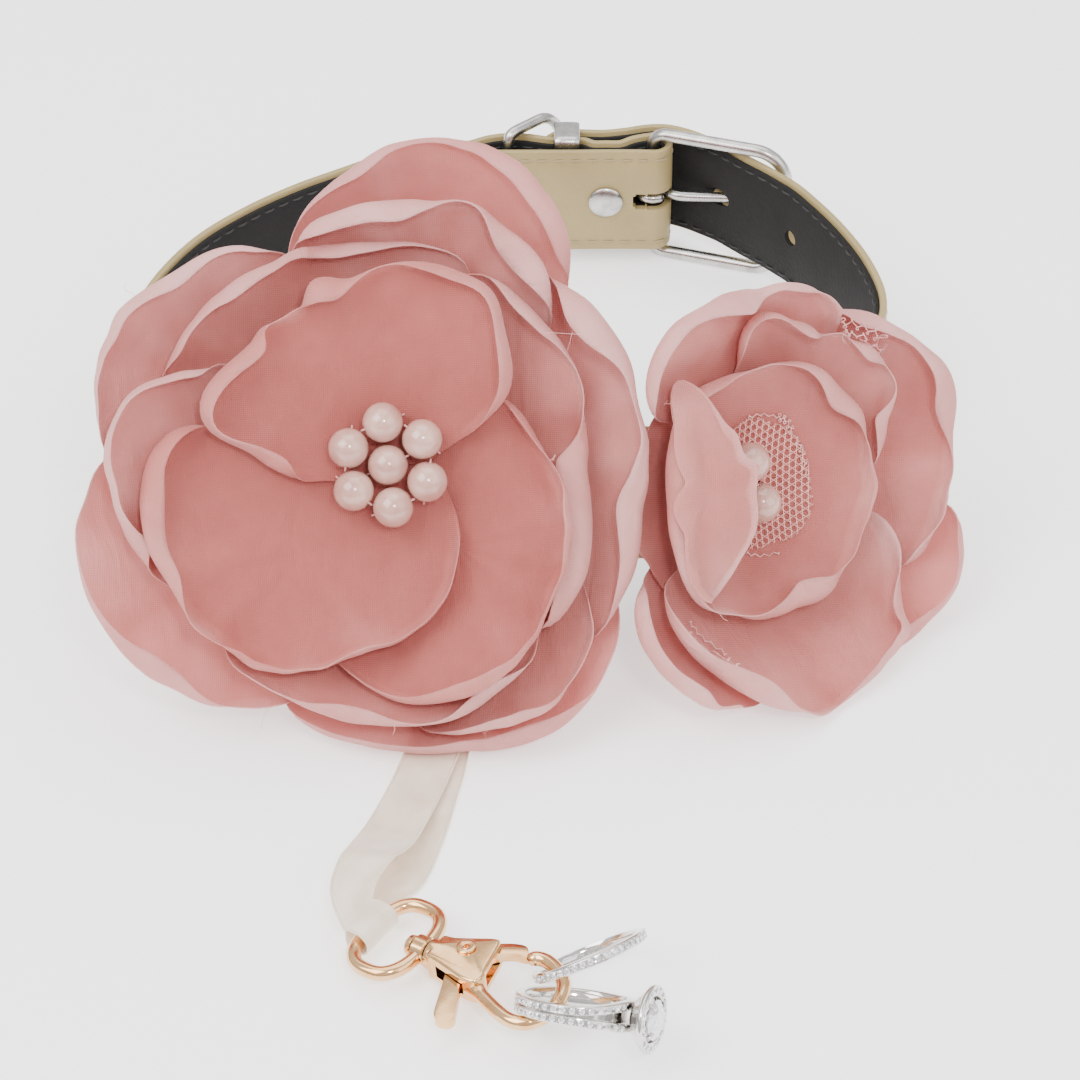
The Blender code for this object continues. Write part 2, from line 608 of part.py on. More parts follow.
turned("swivel_post", [(0.0, 7.0), (1.05, 7.0), (1.05, 1.3), (1.9, 1.15), (1.9, 0.5), (1.5, 0.0), (0.0, 0.0)],
       20, M_GOLD, along(-4.9))

FORK = [(1.2, -2.7), (1.2, 2.7), (3.0, 3.3), (9.4, 6.5), (10.6, 5.9), (12.1, -0.6), (12.7, -2.0), (12.2, -4.1),
        (9.5, -4.4), (6.5, -3.8), (3.0, -3.1)]
FORK = list(reversed(FORK))
body = outline_plate("snap_hook_body", FORK, 2.7, M_GOLD, HOOK)
neck = cutter(turned("cut_neck", [(0.0, 3.3), (2.5, 3.3), (2.9, 2.9), (2.9, 0.4), (2.5, 0.0), (0.0, 0.0)], 20, None, along(-0.2)))
BEND = [(10.6, -2.7), (12.5, -3.6), (14.5, -4.5), (18.5, -6.0), (21.6, -6.5), (24.2, -5.3), (25.6, -2.4), (25.6, 1.2), (24.3, 4.5),
        (21.6, 6.9), (18.8, 8.0), (16.9, 7.95), (15.9, 7.3)]
bend = cutter(tube("cut_bend", [Vector((a * MM, b * MM, 0)) for a, b in catmull(BEND, 2)], HOOK_WIRE_R, None,
                   res=2, matrix=HOOK, as_mesh=True))
slot = cutter(outline_plate("cut_gate_slot",
                            list(reversed([(3.1, -1.4), (3.5, -6.0), (9.8, -6.0), (9.8, -1.1), (14.5, -0.9),
                                           (14.5, 9.0), (3.1, 9.0)])), 1.25, None, HOOK))
PIVOT = (6.3, 2.0)
AT_PIVOT = HOOK @ Matrix.Translation((PIVOT[0] * MM, PIVOT[1] * MM, 0))


def at_pivot(c):
    return AT_PIVOT @ Matrix.Translation((0, 0, c * MM))


pin_hole = cutter(turned("cut_pin_hole", [(0.0, 8.0), (1.2, 8.0), (1.2, 0.0), (0.0, 0.0)], 20, None, at_pivot(-4.0)))
post_bore = cutter(turned("cut_post_bore", [(0.0, 4.0), (1.4, 4.0), (1.4, 0.0), (0.0, 0.0)], 20, None, along(-1.5)))
boolean(body, neck, "UNION")
boolean(body, bend, "UNION")
boolean(body, slot)
boolean(body, pin_hole)
boolean(body, post_bore)
apply_all(body)
body.data.materials.clear()
body.data.materials.append(M_GOLD)

GATE = [(4.5, 2.9), (7.4, 5.4), (10.6, 7.5), (12.9, 8.5), (14.4, 8.4), (15.45, 6.7), (13.2, 6.2), (11.4, 5.2),
        (9.0, 2.8), (8.6, 0.4), (8.9, -2.2), (9.4, -4.6), (12.9, -11.2), (12.4, -12.6), (10.6, -13.0),
        (9.4, -12.0), (6.2, -4.8), (5.0, -2.0), (4.3, 0.4)]
gate = outline_plate("hook_gate", list(reversed([(a - PIVOT[0], b - PIVOT[1]) for a, b in GATE])), 1.0, M_GOLD, AT_PIVOT)
recess = cutter(turned("cut_recess", [(0.0, 1.0), (2.0, 1.0), (2.0, 0.0), (0.0, 0.0)], 20, None, at_pivot(0.25)))
gate_hole = cutter(turned("cut_gate_hole", [(0.0, 4.0), (1.2, 4.0), (1.2, 0.0), (0.0, 0.0)], 20, None, at_pivot(-2.0)))
boolean(gate, recess)
boolean(gate, gate_hole)
apply_all(gate)
gate.data.materials.clear()
gate.data.materials.append(M_GOLD)

turned("gate_pin", [(0.0, 6.3), (1.1, 6.2), (1.5, 5.9), (1.5, 5.75), (0.9, 5.75), (0.9, 0.0), (0.0, 0.0)],
       16, M_GOLD, at_pivot(-2.7))
coil = [Vector((1.55 * math.cos(k * math.pi / 8) * MM, 1.55 * math.sin(k * math.pi / 8) * MM, (0.42 + 0.5 * k / 24) * MM))
        for k in range(25)]
tube("gate_spring", coil, 0.14, M_STEEL, res=1, matrix=AT_PIVOT)


# ---- ribbon -----------------------------------------------------------------------
RIB_HALF = 4.75
RIB_LOOP_HALF, RIB_LOOP_R = 4.2, 2.4      # gathered a little where it goes round the eye
loop_c = Vector(HOOK_O) + h_dir * (EYE_A - EYE_SEMI_A + 0.12)
n_dir = h_dir.cross(w_dir)
sections = [
    ((-23.0, -20.5, 16.0), (1, 0, 0)), ((-22.5, -28.0, 13.2), (1, 0, 0)), ((-21.5, -36.0, 8.6), (1, 0, 0)),
    ((-20.0, -45.0, 4.2), (1, 0, 0)), ((-18.6, -54.0, 1.7), (0.99, -0.1, 0)), ((-18.6, -62.0, 1.35), (0.97, -0.25, 0)),
    ((-21.5, -71.0, 1.6), (0.93, -0.36, 0)), ((-26.5, -81.0, 3.2), (0.93, -0.36, 0)),
    ((-30.2, -88.7, 5.6), (0.98, -0.2, 0)), ((-31.9, -93.4, 6.5), (0.99, 0.12, 0)), ((-32.6, -97.4, 6.3), (0.86, 0.5, 0)),
]
secs = [(Vector(c), Vector(w).normalized()) for c, w in sections]
for d, r in ((-2.6, 2.6), (-1.2, 2.45)):
    secs.append((loop_c + h_dir * d + n_dir * r, w_dir.copy()))
for k in range(7):
    a = math.radians(90 - 30 * k)
    secs.append((loop_c + h_dir * (RIB_LOOP_R * math.cos(a)) + n_dir * (RIB_LOOP_R * math.sin(a)), w_dir.copy()))
secs.append((loop_c + h_dir * -1.8 - n_dir * (RIB_LOOP_R - 0.05), w_dir.copy()))
for c, w in [((-31.4, -98.2, 0.75), (0.80, 0.6, 0)), ((-27.5, -90.5, 0.5), (0.97, 0.24, 0)), ((-22.5, -80.0, 0.5), (1, 0, 0)),
             ((-18.5, -69.0, 0.5), (1, -0.05, 0)), ((-17.0, -60.0, 0.55), (1, -0.05, 0)), ((-17.5, -51.0, 0.9), (1, 0, 0)),
             ((-18.5, -42.5, 2.9), (1, 0, 0)), ((-20.0, -35.0, 6.4), (1, 0, 0)), ((-21.0, -27.5, 10.6), (1, 0, 0)),
             ((-21.5, -21.0, 13.4), (1, 0, 0))]:
    secs.append((Vector(c), Vector(w).normalized()))
rows = []
for c, w in secs:
    c0 = pt(*c)
    near = max(0.0, 1.0 - max(0.0, (c - loop_c).length - 4.0) / 6.0)
    half_w = RIB_HALF + (RIB_LOOP_HALF - RIB_HALF) * near
    rows.append((c0 - w * half_w * MM, c0 + w * half_w * MM))
ribbon = place("ribbon_loop", strip_mesh("ribbon_loop", rows, 1), M_RIBBON)
solidify(ribbon, 0.45)


# ---- finger rings ------------------------------------------------------------------
WED_C, WED_N = (8.367, -114.735, 8.283), (-0.382, 0.611, 0.694)
ENG_C, ENG_N, ENG_HEAD = (6.081, -126.228, 8.319), (0.1, 0.623, 0.776), (0.913, -0.368, 0.177)


def ring_frame(centre, normal, head):
    n = Vector(normal).normalized()
    x = Vector(head)
    x = (x - n * x.dot(n)).normalized()
    m = Matrix((x, n.cross(x), n)).transposed().to_4x4()
    m.translation = pt(*centre)
    return m


WED = ring_frame(WED_C, WED_N, (1, 0, 0))
turned("wedding_band", [(RING_OUT - 0.25, 0.85), (RING_OUT, 0.6), (RING_OUT, -0.6), (RING_OUT - 0.25, -0.85),
                        (RING_IN + 0.35, -0.85), (RING_IN + 0.2, 0.0), (RING_IN + 0.35, 0.85)], 40, M_RING, WED)

ENG = ring_frame(ENG_C, ENG_N, ENG_HEAD)
# shank: two pave rows that part towards the head, one closed loft of changing sections
bm = bmesh.new()
N = 40
sect = []
for i in range(N):
    th = 2 * math.pi * i / N
    near = max(0.0, math.cos(th)) ** 3            # 1 at the head
    spread = 0.82 + 1.05 * near                   # row centre from the mid plane
    hw = 0.78
    r1, r0 = RING_OUT, RING_IN
    groove = 0.55 + 0.5 * near
    prof = [(r1 - 0.2, spread + hw), (r1, spread + hw - 0.25), (r1, spread - hw + 0.25), (r1 - groove, max(spread - hw, 0.06)),
            (r1 - groove, -max(spread - hw, 0.06)), (r1, -spread + hw - 0.25), (r1, -spread - hw + 0.25), (r1 - 0.2, -spread - hw),
            (r0 + 0.15, -spread - hw), (r0, 0.0), (r0 + 0.15, spread + hw)]
    sect.append([bm.verts.new((r * math.cos(th) * MM, r * math.sin(th) * MM, z * MM)) for r, z in prof])
for i in range(N):
    a, b = sect[i], sect[(i + 1) % N]
    for j in range(len(a)):
        k = (j + 1) % len(a)
        bm.faces.new((a[j], b[j], b[k], a[k]))
bmesh.ops.recalc_face_normals(bm, faces=bm.faces)
mesh = bpy.data.meshes.new("engagement_shank")
bm.to_mesh(mesh)
bm.free()
mesh.shade_smooth()
place("engagement_shank", mesh, M_RING, ENG)

HEADM = ENG @ Matrix.Translation((RING_OUT * MM, 0, 0)) @ Matrix.Rotation(math.radians(90), 4, "Y")
turned("halo_setting", [(0.0, 1.0), (1.6, 1.3), (3.4, 2.7), (3.75, 2.95), (3.75, 3.4), (4.3, 3.75), (5.4, 3.75), (5.85, 3.3),
                        (5.6, 2.7), (4.2, 1.9), (2.6, 0.9), (1.7, 0.35), (0.0, 0.35)], 32, M_RING, HEADM)
turned("centre_stone", [(0.0, 4.75), (1.9, 4.75), (3.4, 3.9), (3.4, 3.6), (0.0, 1.6)], 16, M_STONE, HEADM)
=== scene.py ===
import bpy
import bmesh
import math
import numpy as np
from mathutils import Matrix, Vector


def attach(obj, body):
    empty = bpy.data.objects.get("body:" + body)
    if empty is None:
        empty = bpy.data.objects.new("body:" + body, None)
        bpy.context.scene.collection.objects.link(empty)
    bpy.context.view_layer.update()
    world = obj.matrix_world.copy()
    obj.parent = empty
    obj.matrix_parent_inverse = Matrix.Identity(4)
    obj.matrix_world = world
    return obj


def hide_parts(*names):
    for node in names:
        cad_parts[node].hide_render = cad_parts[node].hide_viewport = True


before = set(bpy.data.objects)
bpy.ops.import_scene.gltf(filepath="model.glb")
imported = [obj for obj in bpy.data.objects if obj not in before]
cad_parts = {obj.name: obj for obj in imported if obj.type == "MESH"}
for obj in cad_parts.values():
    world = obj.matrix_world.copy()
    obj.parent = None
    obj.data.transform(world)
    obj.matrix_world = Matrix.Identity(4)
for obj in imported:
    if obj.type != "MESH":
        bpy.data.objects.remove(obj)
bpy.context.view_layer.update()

MM = 0.001
ORIGIN = np.array([-5.8, -11.0, 0.0])        # design mm -> row frame
COL = bpy.context.scene.collection


def P(a):
    """Design millimetres (n,3) to row-frame metres."""
    return (np.asarray(a, float) - ORIGIN) * MM


# ------------------------------------------------------------------ materials
def srgb(r, g, b):
    out = []
    for c in (r, g, b):
        c /= 255.0
        out.append(c / 12.92 if c <= 0.04045 else ((c + 0.055) / 1.055) ** 2.4)
    return (*out, 1.0)


def new_mat(name):
    m = bpy.data.materials.new(name)
    m.use_nodes = True
    nt = m.node_tree
    b = nt.nodes["Principled BSDF"]
    return m, nt, b


def node(nt, kind, **kw):
    n = nt.nodes.new(kind)
    for k, v in kw.items():
        if k.startswith("i_"):
            n.inputs[k[2:].replace("_", " ")].default_value = v
        else:
            setattr(n, k, v)
    return n


def ramp(nt, fac, stops, interp="LINEAR"):
    r = nt.nodes.new("ShaderNodeValToRGB")
    r.color_ramp.interpolation = interp
    while len(r.color_ramp.elements) < len(stops):
        r.color_ramp.elements.new(0.5)
    for e, (p, c) in zip(r.color_ramp.elements, stops):
        e.position = p
        e.color = c
    nt.links.new(fac, r.inputs["Fac"])
    return r.outputs["Color"]


def uv_coord(nt, scale):
    t = nt.nodes.new("ShaderNodeUVMap")
    m = nt.nodes.new("ShaderNodeMapping")
    m.inputs["Scale"].default_value = scale
    nt.links.new(t.outputs["UV"], m.inputs["Vector"])
    return m.outputs["Vector"]


def obj_coord(nt, scale=(1, 1, 1)):
    t = nt.nodes.new("ShaderNodeTexCoord")
    m = nt.nodes.new("ShaderNodeMapping")
    m.inputs["Scale"].default_value = scale
    nt.links.new(t.outputs["Object"], m.inputs["Vector"])
    return m.outputs["Vector"]


def bump(nt, height, strength, dist, normal=None):
    b = nt.nodes.new("ShaderNodeBump")
    b.inputs["Strength"].default_value = strength
    b.inputs["Distance"].default_value = dist
    nt.links.new(height, b.inputs["Height"])
    if normal is not None:
        nt.links.new(normal, b.inputs["Normal"])
    return b.outputs["Normal"]


def math_node(nt, op, a, b=None):
    m = nt.nodes.new("ShaderNodeMath")
    m.operation = op
    for i, v in enumerate((a, b)):
        if v is None:
            continue
        if isinstance(v, (int, float)):
            m.inputs[i].default_value = v
        else:
            nt.links.new(v, m.inputs[i])
    return m.outputs[0]


def weave(nt, vec):
    """Two crossed thread waves in UV millimetres."""
    out = []
    for d in ("X", "Y"):
        w = node(nt, "ShaderNodeTexWave", wave_type="BANDS", bands_direction=d, wave_profile="SIN")
        w.inputs["Scale"].default_value = 1.0
        w.inputs["Distortion"].default_value = 0.6
        w.inputs["Detail"].default_value = 1.0
        w.inputs["Detail Scale"].default_value = 0.3
        nt.links.new(vec, w.inputs["Vector"])
        out.append(w.outputs["Fac"])
    return math_node(nt, "MULTIPLY", out[0], out[1])


def chiffon(name, sheer=0.0, light=0.0):
    m, nt, b = new_mat(name)
    # the tone attribute carries painted highlight on curled petal rims and painted shade in ruffle valleys, set in
    # petal()
    at = node(nt, "ShaderNodeAttribute", attribute_name="tone")
    stops = [(0.0, srgb(186, 98, 90)), (0.22, srgb(197, 108, 100)), (0.45, srgb(214, 132, 124)),
             (0.68, srgb(226, 156, 150)), (1.0, srgb(238, 186, 182))]
    vec = uv_coord(nt, (1, 1, 1))
    noise = node(nt, "ShaderNodeTexNoise")
    noise.inputs["Scale"].default_value = 0.16
    noise.inputs["Detail"].default_value = 4.0
    nt.links.new(vec, noise.inputs["Vector"])
    n1 = math_node(nt, "MULTIPLY_ADD", noise.outputs["Fac"], 0.24)
    n1.node.inputs[2].default_value = -0.12 + light
    tone = math_node(nt, "ADD", at.outputs["Fac"], n1)
    wv = weave(nt, uv_coord(nt, (0.85, 0.85, 0.85)))
    w2 = math_node(nt, "MULTIPLY_ADD", wv, 0.22)
    w2.node.inputs[2].default_value = -0.07
    tone = math_node(nt, "ADD", tone, w2)
    col = ramp(nt, tone, stops)
    nt.links.new(col, b.inputs["Base Color"])
    b.inputs["Roughness"].default_value = 0.62
    b.inputs["Sheen Weight"].default_value = 0.55
    b.inputs["Sheen Roughness"].default_value = 0.35
    b.inputs["Sheen Tint"].default_value = srgb(255, 214, 210)
    b.inputs["Specular IOR Level"].default_value = 0.35
    fine = bump(nt, wv, 0.42, 0.0002)
    crease = node(nt, "ShaderNodeTexNoise")
    crease.inputs["Scale"].default_value = 0.11
    crease.inputs["Detail"].default_value = 5.0
    crease.inputs["Distortion"].default_value = 1.4
    nt.links.new(uv_coord(nt, (1.0, 0.35, 1.0)), crease.inputs["Vector"])
    nrm = bump(nt, crease.outputs["Fac"], 0.45, 0.0022, fine)
    nt.links.new(nrm, b.inputs["Normal"])
    tr = nt.nodes.new("ShaderNodeBsdfTranslucent")
    nt.links.new(col, tr.inputs["Color"])
    nt.links.new(nrm, tr.inputs["Normal"])
    mix = nt.nodes.new("ShaderNodeMixShader")
    mix.inputs["Fac"].default_value = 0.30
    nt.links.new(b.outputs["BSDF"], mix.inputs[1])
    nt.links.new(tr.outputs["BSDF"], mix.inputs[2])
    last = mix.outputs["Shader"]
    if sheer > 0:
        tp = nt.nodes.new("ShaderNodeBsdfTransparent")
        tp.inputs["Color"].default_value = srgb(250, 214, 210)
        mx = nt.nodes.new("ShaderNodeMixShader")
        mx.inputs["Fac"].default_value = sheer
        nt.links.new(last, mx.inputs[1])
        nt.links.new(tp.outputs["BSDF"], mx.inputs[2])
        last = mx.outputs["Shader"]
    nt.links.new(last, nt.nodes["Material Output"].inputs["Surface"])
    return m


def leather(name, base, dark, grain, rough, bump_s):
    m, nt, b = new_mat(name)
    v = obj_coord(nt, (1000, 1000, 1000))
    vo = node(nt, "ShaderNodeTexVoronoi", feature="F1")
    vo.inputs["Scale"].default_value = grain
    nt.links.new(v, vo.inputs["Vector"])
    no = node(nt, "ShaderNodeTexNoise")
    no.inputs["Scale"].default_value = 0.09
    no.inputs["Detail"].default_value = 6.0
    nt.links.new(v, no.inputs["Vector"])
    fine = node(nt, "ShaderNodeTexNoise")
    fine.inputs["Scale"].default_value = 2.2
    fine.inputs["Detail"].default_value = 3.0
    nt.links.new(v, fine.inputs["Vector"])
    f = math_node(nt, "MULTIPLY_ADD", fine.outputs["Fac"], 0.35)
    nt.links.new(no.outputs["Fac"], f.node.inputs[2])
    col = ramp(nt, f, [(0.25, dark), (0.9, base)])
    nt.links.new(col, b.inputs["Base Color"])
    r = math_node(nt, "MULTIPLY_ADD", no.outputs["Fac"], 0.22)
    r.node.inputs[2].default_value = rough - 0.11
    nt.links.new(r, b.inputs["Roughness"])
    b.inputs["Specular IOR Level"].default_value = 0.45
    n1 = bump(nt, vo.outputs["Distance"], bump_s, 0.00016)
    n2 = bump(nt, fine.outputs["Fac"], bump_s * 0.6, 0.0001, n1)
    nt.links.new(n2, b.inputs["Normal"])
    return m


def metal(name, base, tint, rough, scratch=0.25, aniso=0.0):
    m, nt, b = new_mat(name)
    v = obj_coord(nt, (1000, 1000, 1000))
    no = node(nt, "ShaderNodeTexNoise")
    no.inputs["Scale"].default_value = 0.35
    no.inputs["Detail"].default_value = 6.0
    nt.links.new(v, no.inputs["Vector"])
    col = ramp(nt, no.outputs["Fac"], [(0.3, tint), (0.7, base)])
    nt.links.new(col, b.inputs["Base Color"])
    b.inputs["Metallic"].default_value = 1.0
    fine = node(nt, "ShaderNodeTexNoise")
    fine.inputs["Scale"].default_value = 3.0
    fine.inputs["Detail"].default_value = 2.0
    nt.links.new(obj_coord(nt, (1000, 1000, 3000)), fine.inputs["Vector"])
    r = math_node(nt, "MULTIPLY_ADD", fine.outputs["Fac"], scratch)
    r.node.inputs[2].default_value = rough - scratch * 0.35
    nt.links.new(r, b.inputs["Roughness"])
    nt.links.new(bump(nt, fine.outputs["Fac"], 0.05, 0.0001), b.inputs["Normal"])
    b.inputs["Anisotropic"].default_value = aniso
    return m


M_PETAL = chiffon("petal_chiffon")
M_PETAL_LIGHT = chiffon("petal_chiffon_light", 0.0, 0.10)
M_SHEER = chiffon("petal_chiffon_sheer", 0.24, 0.06)
M_LEATHER = leather("champagne_leather_look", srgb(166, 147, 101), srgb(146, 128, 84), 1.1, 0.46, 0.35)
M_LINING = leather("black_lining_look", srgb(17, 15, 14), srgb(7, 6, 6), 1.3, 0.86, 0.4)
M_SILVER = metal("silver_hardware", srgb(206, 204, 200), srgb(170, 168, 165), 0.26, 0.16)
M_GOLD = metal("rose_gold_plate", srgb(238, 196, 146), srgb(224, 172, 118), 0.12, 0.10)
M_WHITE_GOLD = metal("white_gold_polish", srgb(226, 222, 218), srgb(196, 193, 190), 0.10, 0.08)

M_THREAD, nt, b = new_mat("stitch_thread")
v = obj_coord(nt, (1000, 1000, 1000))
w = node(nt, "ShaderNodeTexWave", wave_type="BANDS", bands_direction="DIAGONAL")
w.inputs["Scale"].default_value = 1.6
nt.links.new(v, w.inputs["Vector"])
nt.links.new(ramp(nt, w.outputs["Fac"], [(0.2, srgb(122, 104, 68)), (0.8, srgb(196, 178, 134))]), b.inputs["Base Color"])
nt.links.new(bump(nt, w.outputs["Fac"], 0.4, 0.0001), b.inputs["Normal"])
b.inputs["Roughness"].default_value = 0.6
b.inputs["Sheen Weight"].default_value = 0.3

M_BLACK_THREAD, nt, b = new_mat("black_thread")
v = obj_coord(nt, (1000, 1000, 1000))
w = node(nt, "ShaderNodeTexWave", wave_type="BANDS", bands_direction="DIAGONAL")
w.inputs["Scale"].default_value = 1.6
nt.links.new(v, w.inputs["Vector"])
nt.links.new(ramp(nt, w.outputs["Fac"], [(0.2, srgb(14, 13, 13)), (0.8, srgb(52, 50, 50))]), b.inputs["Base Color"])
b.inputs["Roughness"].default_value = 0.6

M_PINK_THREAD, nt, b = new_mat("pink_thread")
v = obj_coord(nt, (1000, 1000, 1000))
w = node(nt, "ShaderNodeTexNoise")
w.inputs["Scale"].default_value = 0.8
nt.links.new(v, w.inputs["Vector"])
nt.links.new(ramp(nt, w.outputs["Fac"], [(0.3, srgb(206, 128, 124)), (0.7, srgb(238, 184, 180))]), b.inputs["Base Color"])
b.inputs["Roughness"].default_value = 0.6
b.inputs["Sheen Weight"].default_value = 0.4

M_PEARL, nt, b = new_mat("pearl_coat")
v = obj_coord(nt, (1000, 1000, 1000))
no = node(nt, "ShaderNodeTexNoise")
no.inputs["Scale"].default_value = 0.22
no.inputs["Detail"].default_value = 3.0
nt.links.new(v, no.inputs["Vector"])
c1 = ramp(nt, no.outputs["Fac"], [(0.3, srgb(184, 134, 122)), (0.7, srgb(208, 166, 152))])
nt.links.new(c1, b.inputs["Base Color"])
b.inputs["Roughness"].default_value = 0.22
b.inputs["Coat Weight"].default_value = 1.0
b.inputs["Coat Roughness"].default_value = 0.06
b.inputs["Subsurface Weight"].default_value = 0.12
b.inputs["Subsurface Radius"].default_value = (0.002, 0.0012, 0.001)

M_HOLE, nt, b = new_mat("drill_hole_shade")
v = obj_coord(nt, (1000, 1000, 1000))
no = node(nt, "ShaderNodeTexNoise")
no.inputs["Scale"].default_value = 1.5
nt.links.new(v, no.inputs["Vector"])
nt.links.new(ramp(nt, no.outputs["Fac"], [(0.3, srgb(96, 60, 56)), (0.7, srgb(140, 92, 84))]), b.inputs["Base Color"])
b.inputs["Roughness"].default_value = 0.8

M_RIBBON, nt, b = new_mat("cream_satin_weave")
uvv = uv_coord(nt, (1, 1, 1))
w = node(nt, "ShaderNodeTexWave", wave_type="BANDS", bands_direction="Y")
w.inputs["Scale"].default_value = 1.3
w.inputs["Distortion"].default_value = 0.4
nt.links.new(uvv, w.inputs["Vector"])
no = node(nt, "ShaderNodeTexNoise")
no.inputs["Scale"].default_value = 0.12
no.inputs["Detail"].default_value = 3.0
nt.links.new(uvv, no.inputs["Vector"])
f = math_node(nt, "MULTIPLY_ADD", w.outputs["Fac"], 0.12)
nt.links.new(no.outputs["Fac"], f.node.inputs[2])
nt.links.new(ramp(nt, f, [(0.35, srgb(224, 202, 180)), (0.75, srgb(248, 234, 216))]), b.inputs["Base Color"])
b.inputs["Roughness"].default_value = 0.27
b.inputs["Sheen Weight"].default_value = 0.35
b.inputs["Anisotropic"].default_value = 0.5
cr = node(nt, "ShaderNodeTexNoise")
cr.inputs["Scale"].default_value = 0.18
cr.inputs["Detail"].default_value = 4.0
nt.links.new(uv_coord(nt, (0.5, 1.6, 1)), cr.inputs["Vector"])
nt.links.new(bump(nt, cr.outputs["Fac"], 0.35, 0.0012, bump(nt, w.outputs["Fac"], 0.25, 0.0001)), b.inputs["Normal"])

M_FELT, nt, b = new_mat("felt_look")
v = obj_coord(nt, (1000, 1000, 1000))
no = node(nt, "ShaderNodeTexNoise")
no.inputs["Scale"].default_value = 1.2
no.inputs["Detail"].default_value = 6.0
nt.links.new(v, no.inputs["Vector"])
nt.links.new(ramp(nt, no.outputs["Fac"], [(0.3, srgb(176, 112, 108)), (0.7, srgb(206, 140, 136))]), b.inputs["Base Color"])
nt.links.new(bump(nt, no.outputs["Fac"], 0.8, 0.0004), b.inputs["Normal"])
b.inputs["Roughness"].default_value = 0.95
b.inputs["Sheen Weight"].default_value = 0.4

M_NET, nt, b = new_mat("pink_net_look")
uvv = uv_coord(nt, (1, 1, 1))
waves = []
for rot in (0.0, 60.0, 120.0):
    mp = nt.nodes.new("ShaderNodeMapping")
    mp.inputs["Rotation"].default_value = (0, 0, math.radians(rot))
    nt.links.new(uvv, mp.inputs["Vector"])
    w = node(nt, "ShaderNodeTexWave", wave_type="BANDS", bands_direction="X")
    w.inputs["Scale"].default_value = 0.24
    nt.links.new(mp.outputs["Vector"], w.inputs["Vector"])
    waves.append(w.outputs["Fac"])
mx = math_node(nt, "MAXIMUM", math_node(nt, "MAXIMUM", waves[0], waves[1]), waves[2])
mask = ramp(nt, mx, [(0.0, (0, 0, 0, 1)), (0.972, (1, 1, 1, 1))], "CONSTANT")
nt.links.new(ramp(nt, waves[0], [(0.0, srgb(214, 140, 130)), (1.0, srgb(230, 168, 158))]), b.inputs["Base Color"])
b.inputs["Roughness"].default_value = 0.7
b.inputs["Sheen Weight"].default_value = 0.4
tp = nt.nodes.new("ShaderNodeBsdfTransparent")
mixs = nt.nodes.new("ShaderNodeMixShader")
nt.links.new(mask, mixs.inputs["Fac"])
nt.links.new(tp.outputs["BSDF"], mixs.inputs[1])
nt.links.new(b.outputs["BSDF"], mixs.inputs[2])
nt.links.new(mixs.outputs["Shader"], nt.nodes["Material Output"].inputs["Surface"])

M_STONE, nt, b = new_mat("cut_stone")
v = obj_coord(nt, (1000, 1000, 1000))
no = node(nt, "ShaderNodeTexVoronoi", feature="F1")
no.inputs["Scale"].default_value = 1.4
nt.links.new(v, no.inputs["Vector"])
nt.links.new(ramp(nt, no.outputs["Distance"], [(0.1, srgb(198, 204, 212)), (0.6, srgb(250, 250, 252))]), b.inputs["Base Color"])
b.inputs["Roughness"].default_value = 0.03
b.inputs["Metallic"].default_value = 0.35
b.inputs["IOR"].default_value = 2.3
b.inputs["Transmission Weight"].default_value = 0.35
b.inputs["Coat Weight"].default_value = 1.0
b.inputs["Coat Roughness"].default_value = 0.02


# ------------------------------------------------------------------ mesh helpers
def make(name, verts, faces, mat, body="collar", smooth=True, uv=None, tone=None, sharp=None, replaces=()):
    """Object from row-frame vertices; uv and tone are per vertex."""
    me = bpy.data.meshes.new(name)
    me.from_pydata([tuple(map(float, v)) for v in verts], [], [tuple(int(i) for i in f) for f in faces])
    me.update()
    if uv is not None:
        lay = me.uv_layers.new(name="UVMap")
        idx = np.empty(len(me.loops), dtype=np.int32)
        me.loops.foreach_get("vertex_index", idx)
        lay.data.foreach_set("uv", np.asarray(uv, np.float32)[idx].ravel())
    if tone is not None:
        a = me.attributes.new("tone", "FLOAT", "POINT")
        a.data.foreach_set("value", np.asarray(tone, np.float32))
    ob = bpy.data.objects.new(name, me)
    COL.objects.link(ob)
    me.materials.append(mat)
    if smooth:
        me.shade_smooth()
        if sharp:
            me.set_sharp_from_angle(angle=math.radians(sharp))
    if body:
        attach(ob, body)
    if replaces:
        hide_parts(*replaces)
    return ob


def catmull(pts, steps, closed=False):
    p = np.asarray(pts, float)
    n = len(p)
    out = []
    for i in range(n if closed else n - 1):
        q = [p[(i + k - 1) % n] if closed else p[min(max(i + k - 1, 0), n - 1)] for k in range(4)]
        for s in range(steps):
            t = s / steps
            out.append(0.5 * (2 * q[1] + (q[2] - q[0]) * t + (2 * q[0] - 5 * q[1] + 4 * q[2] - q[3]) * t * t
                              + (3 * q[1] - q[0] - 3 * q[2] + q[3]) * t ** 3))
    if not closed:
        out.append(p[-1])
    return np.array(out)


def unit(v):
    v = np.asarray(v, float)
    return v / np.maximum(np.linalg.norm(v, axis=-1, keepdims=True), 1e-12)


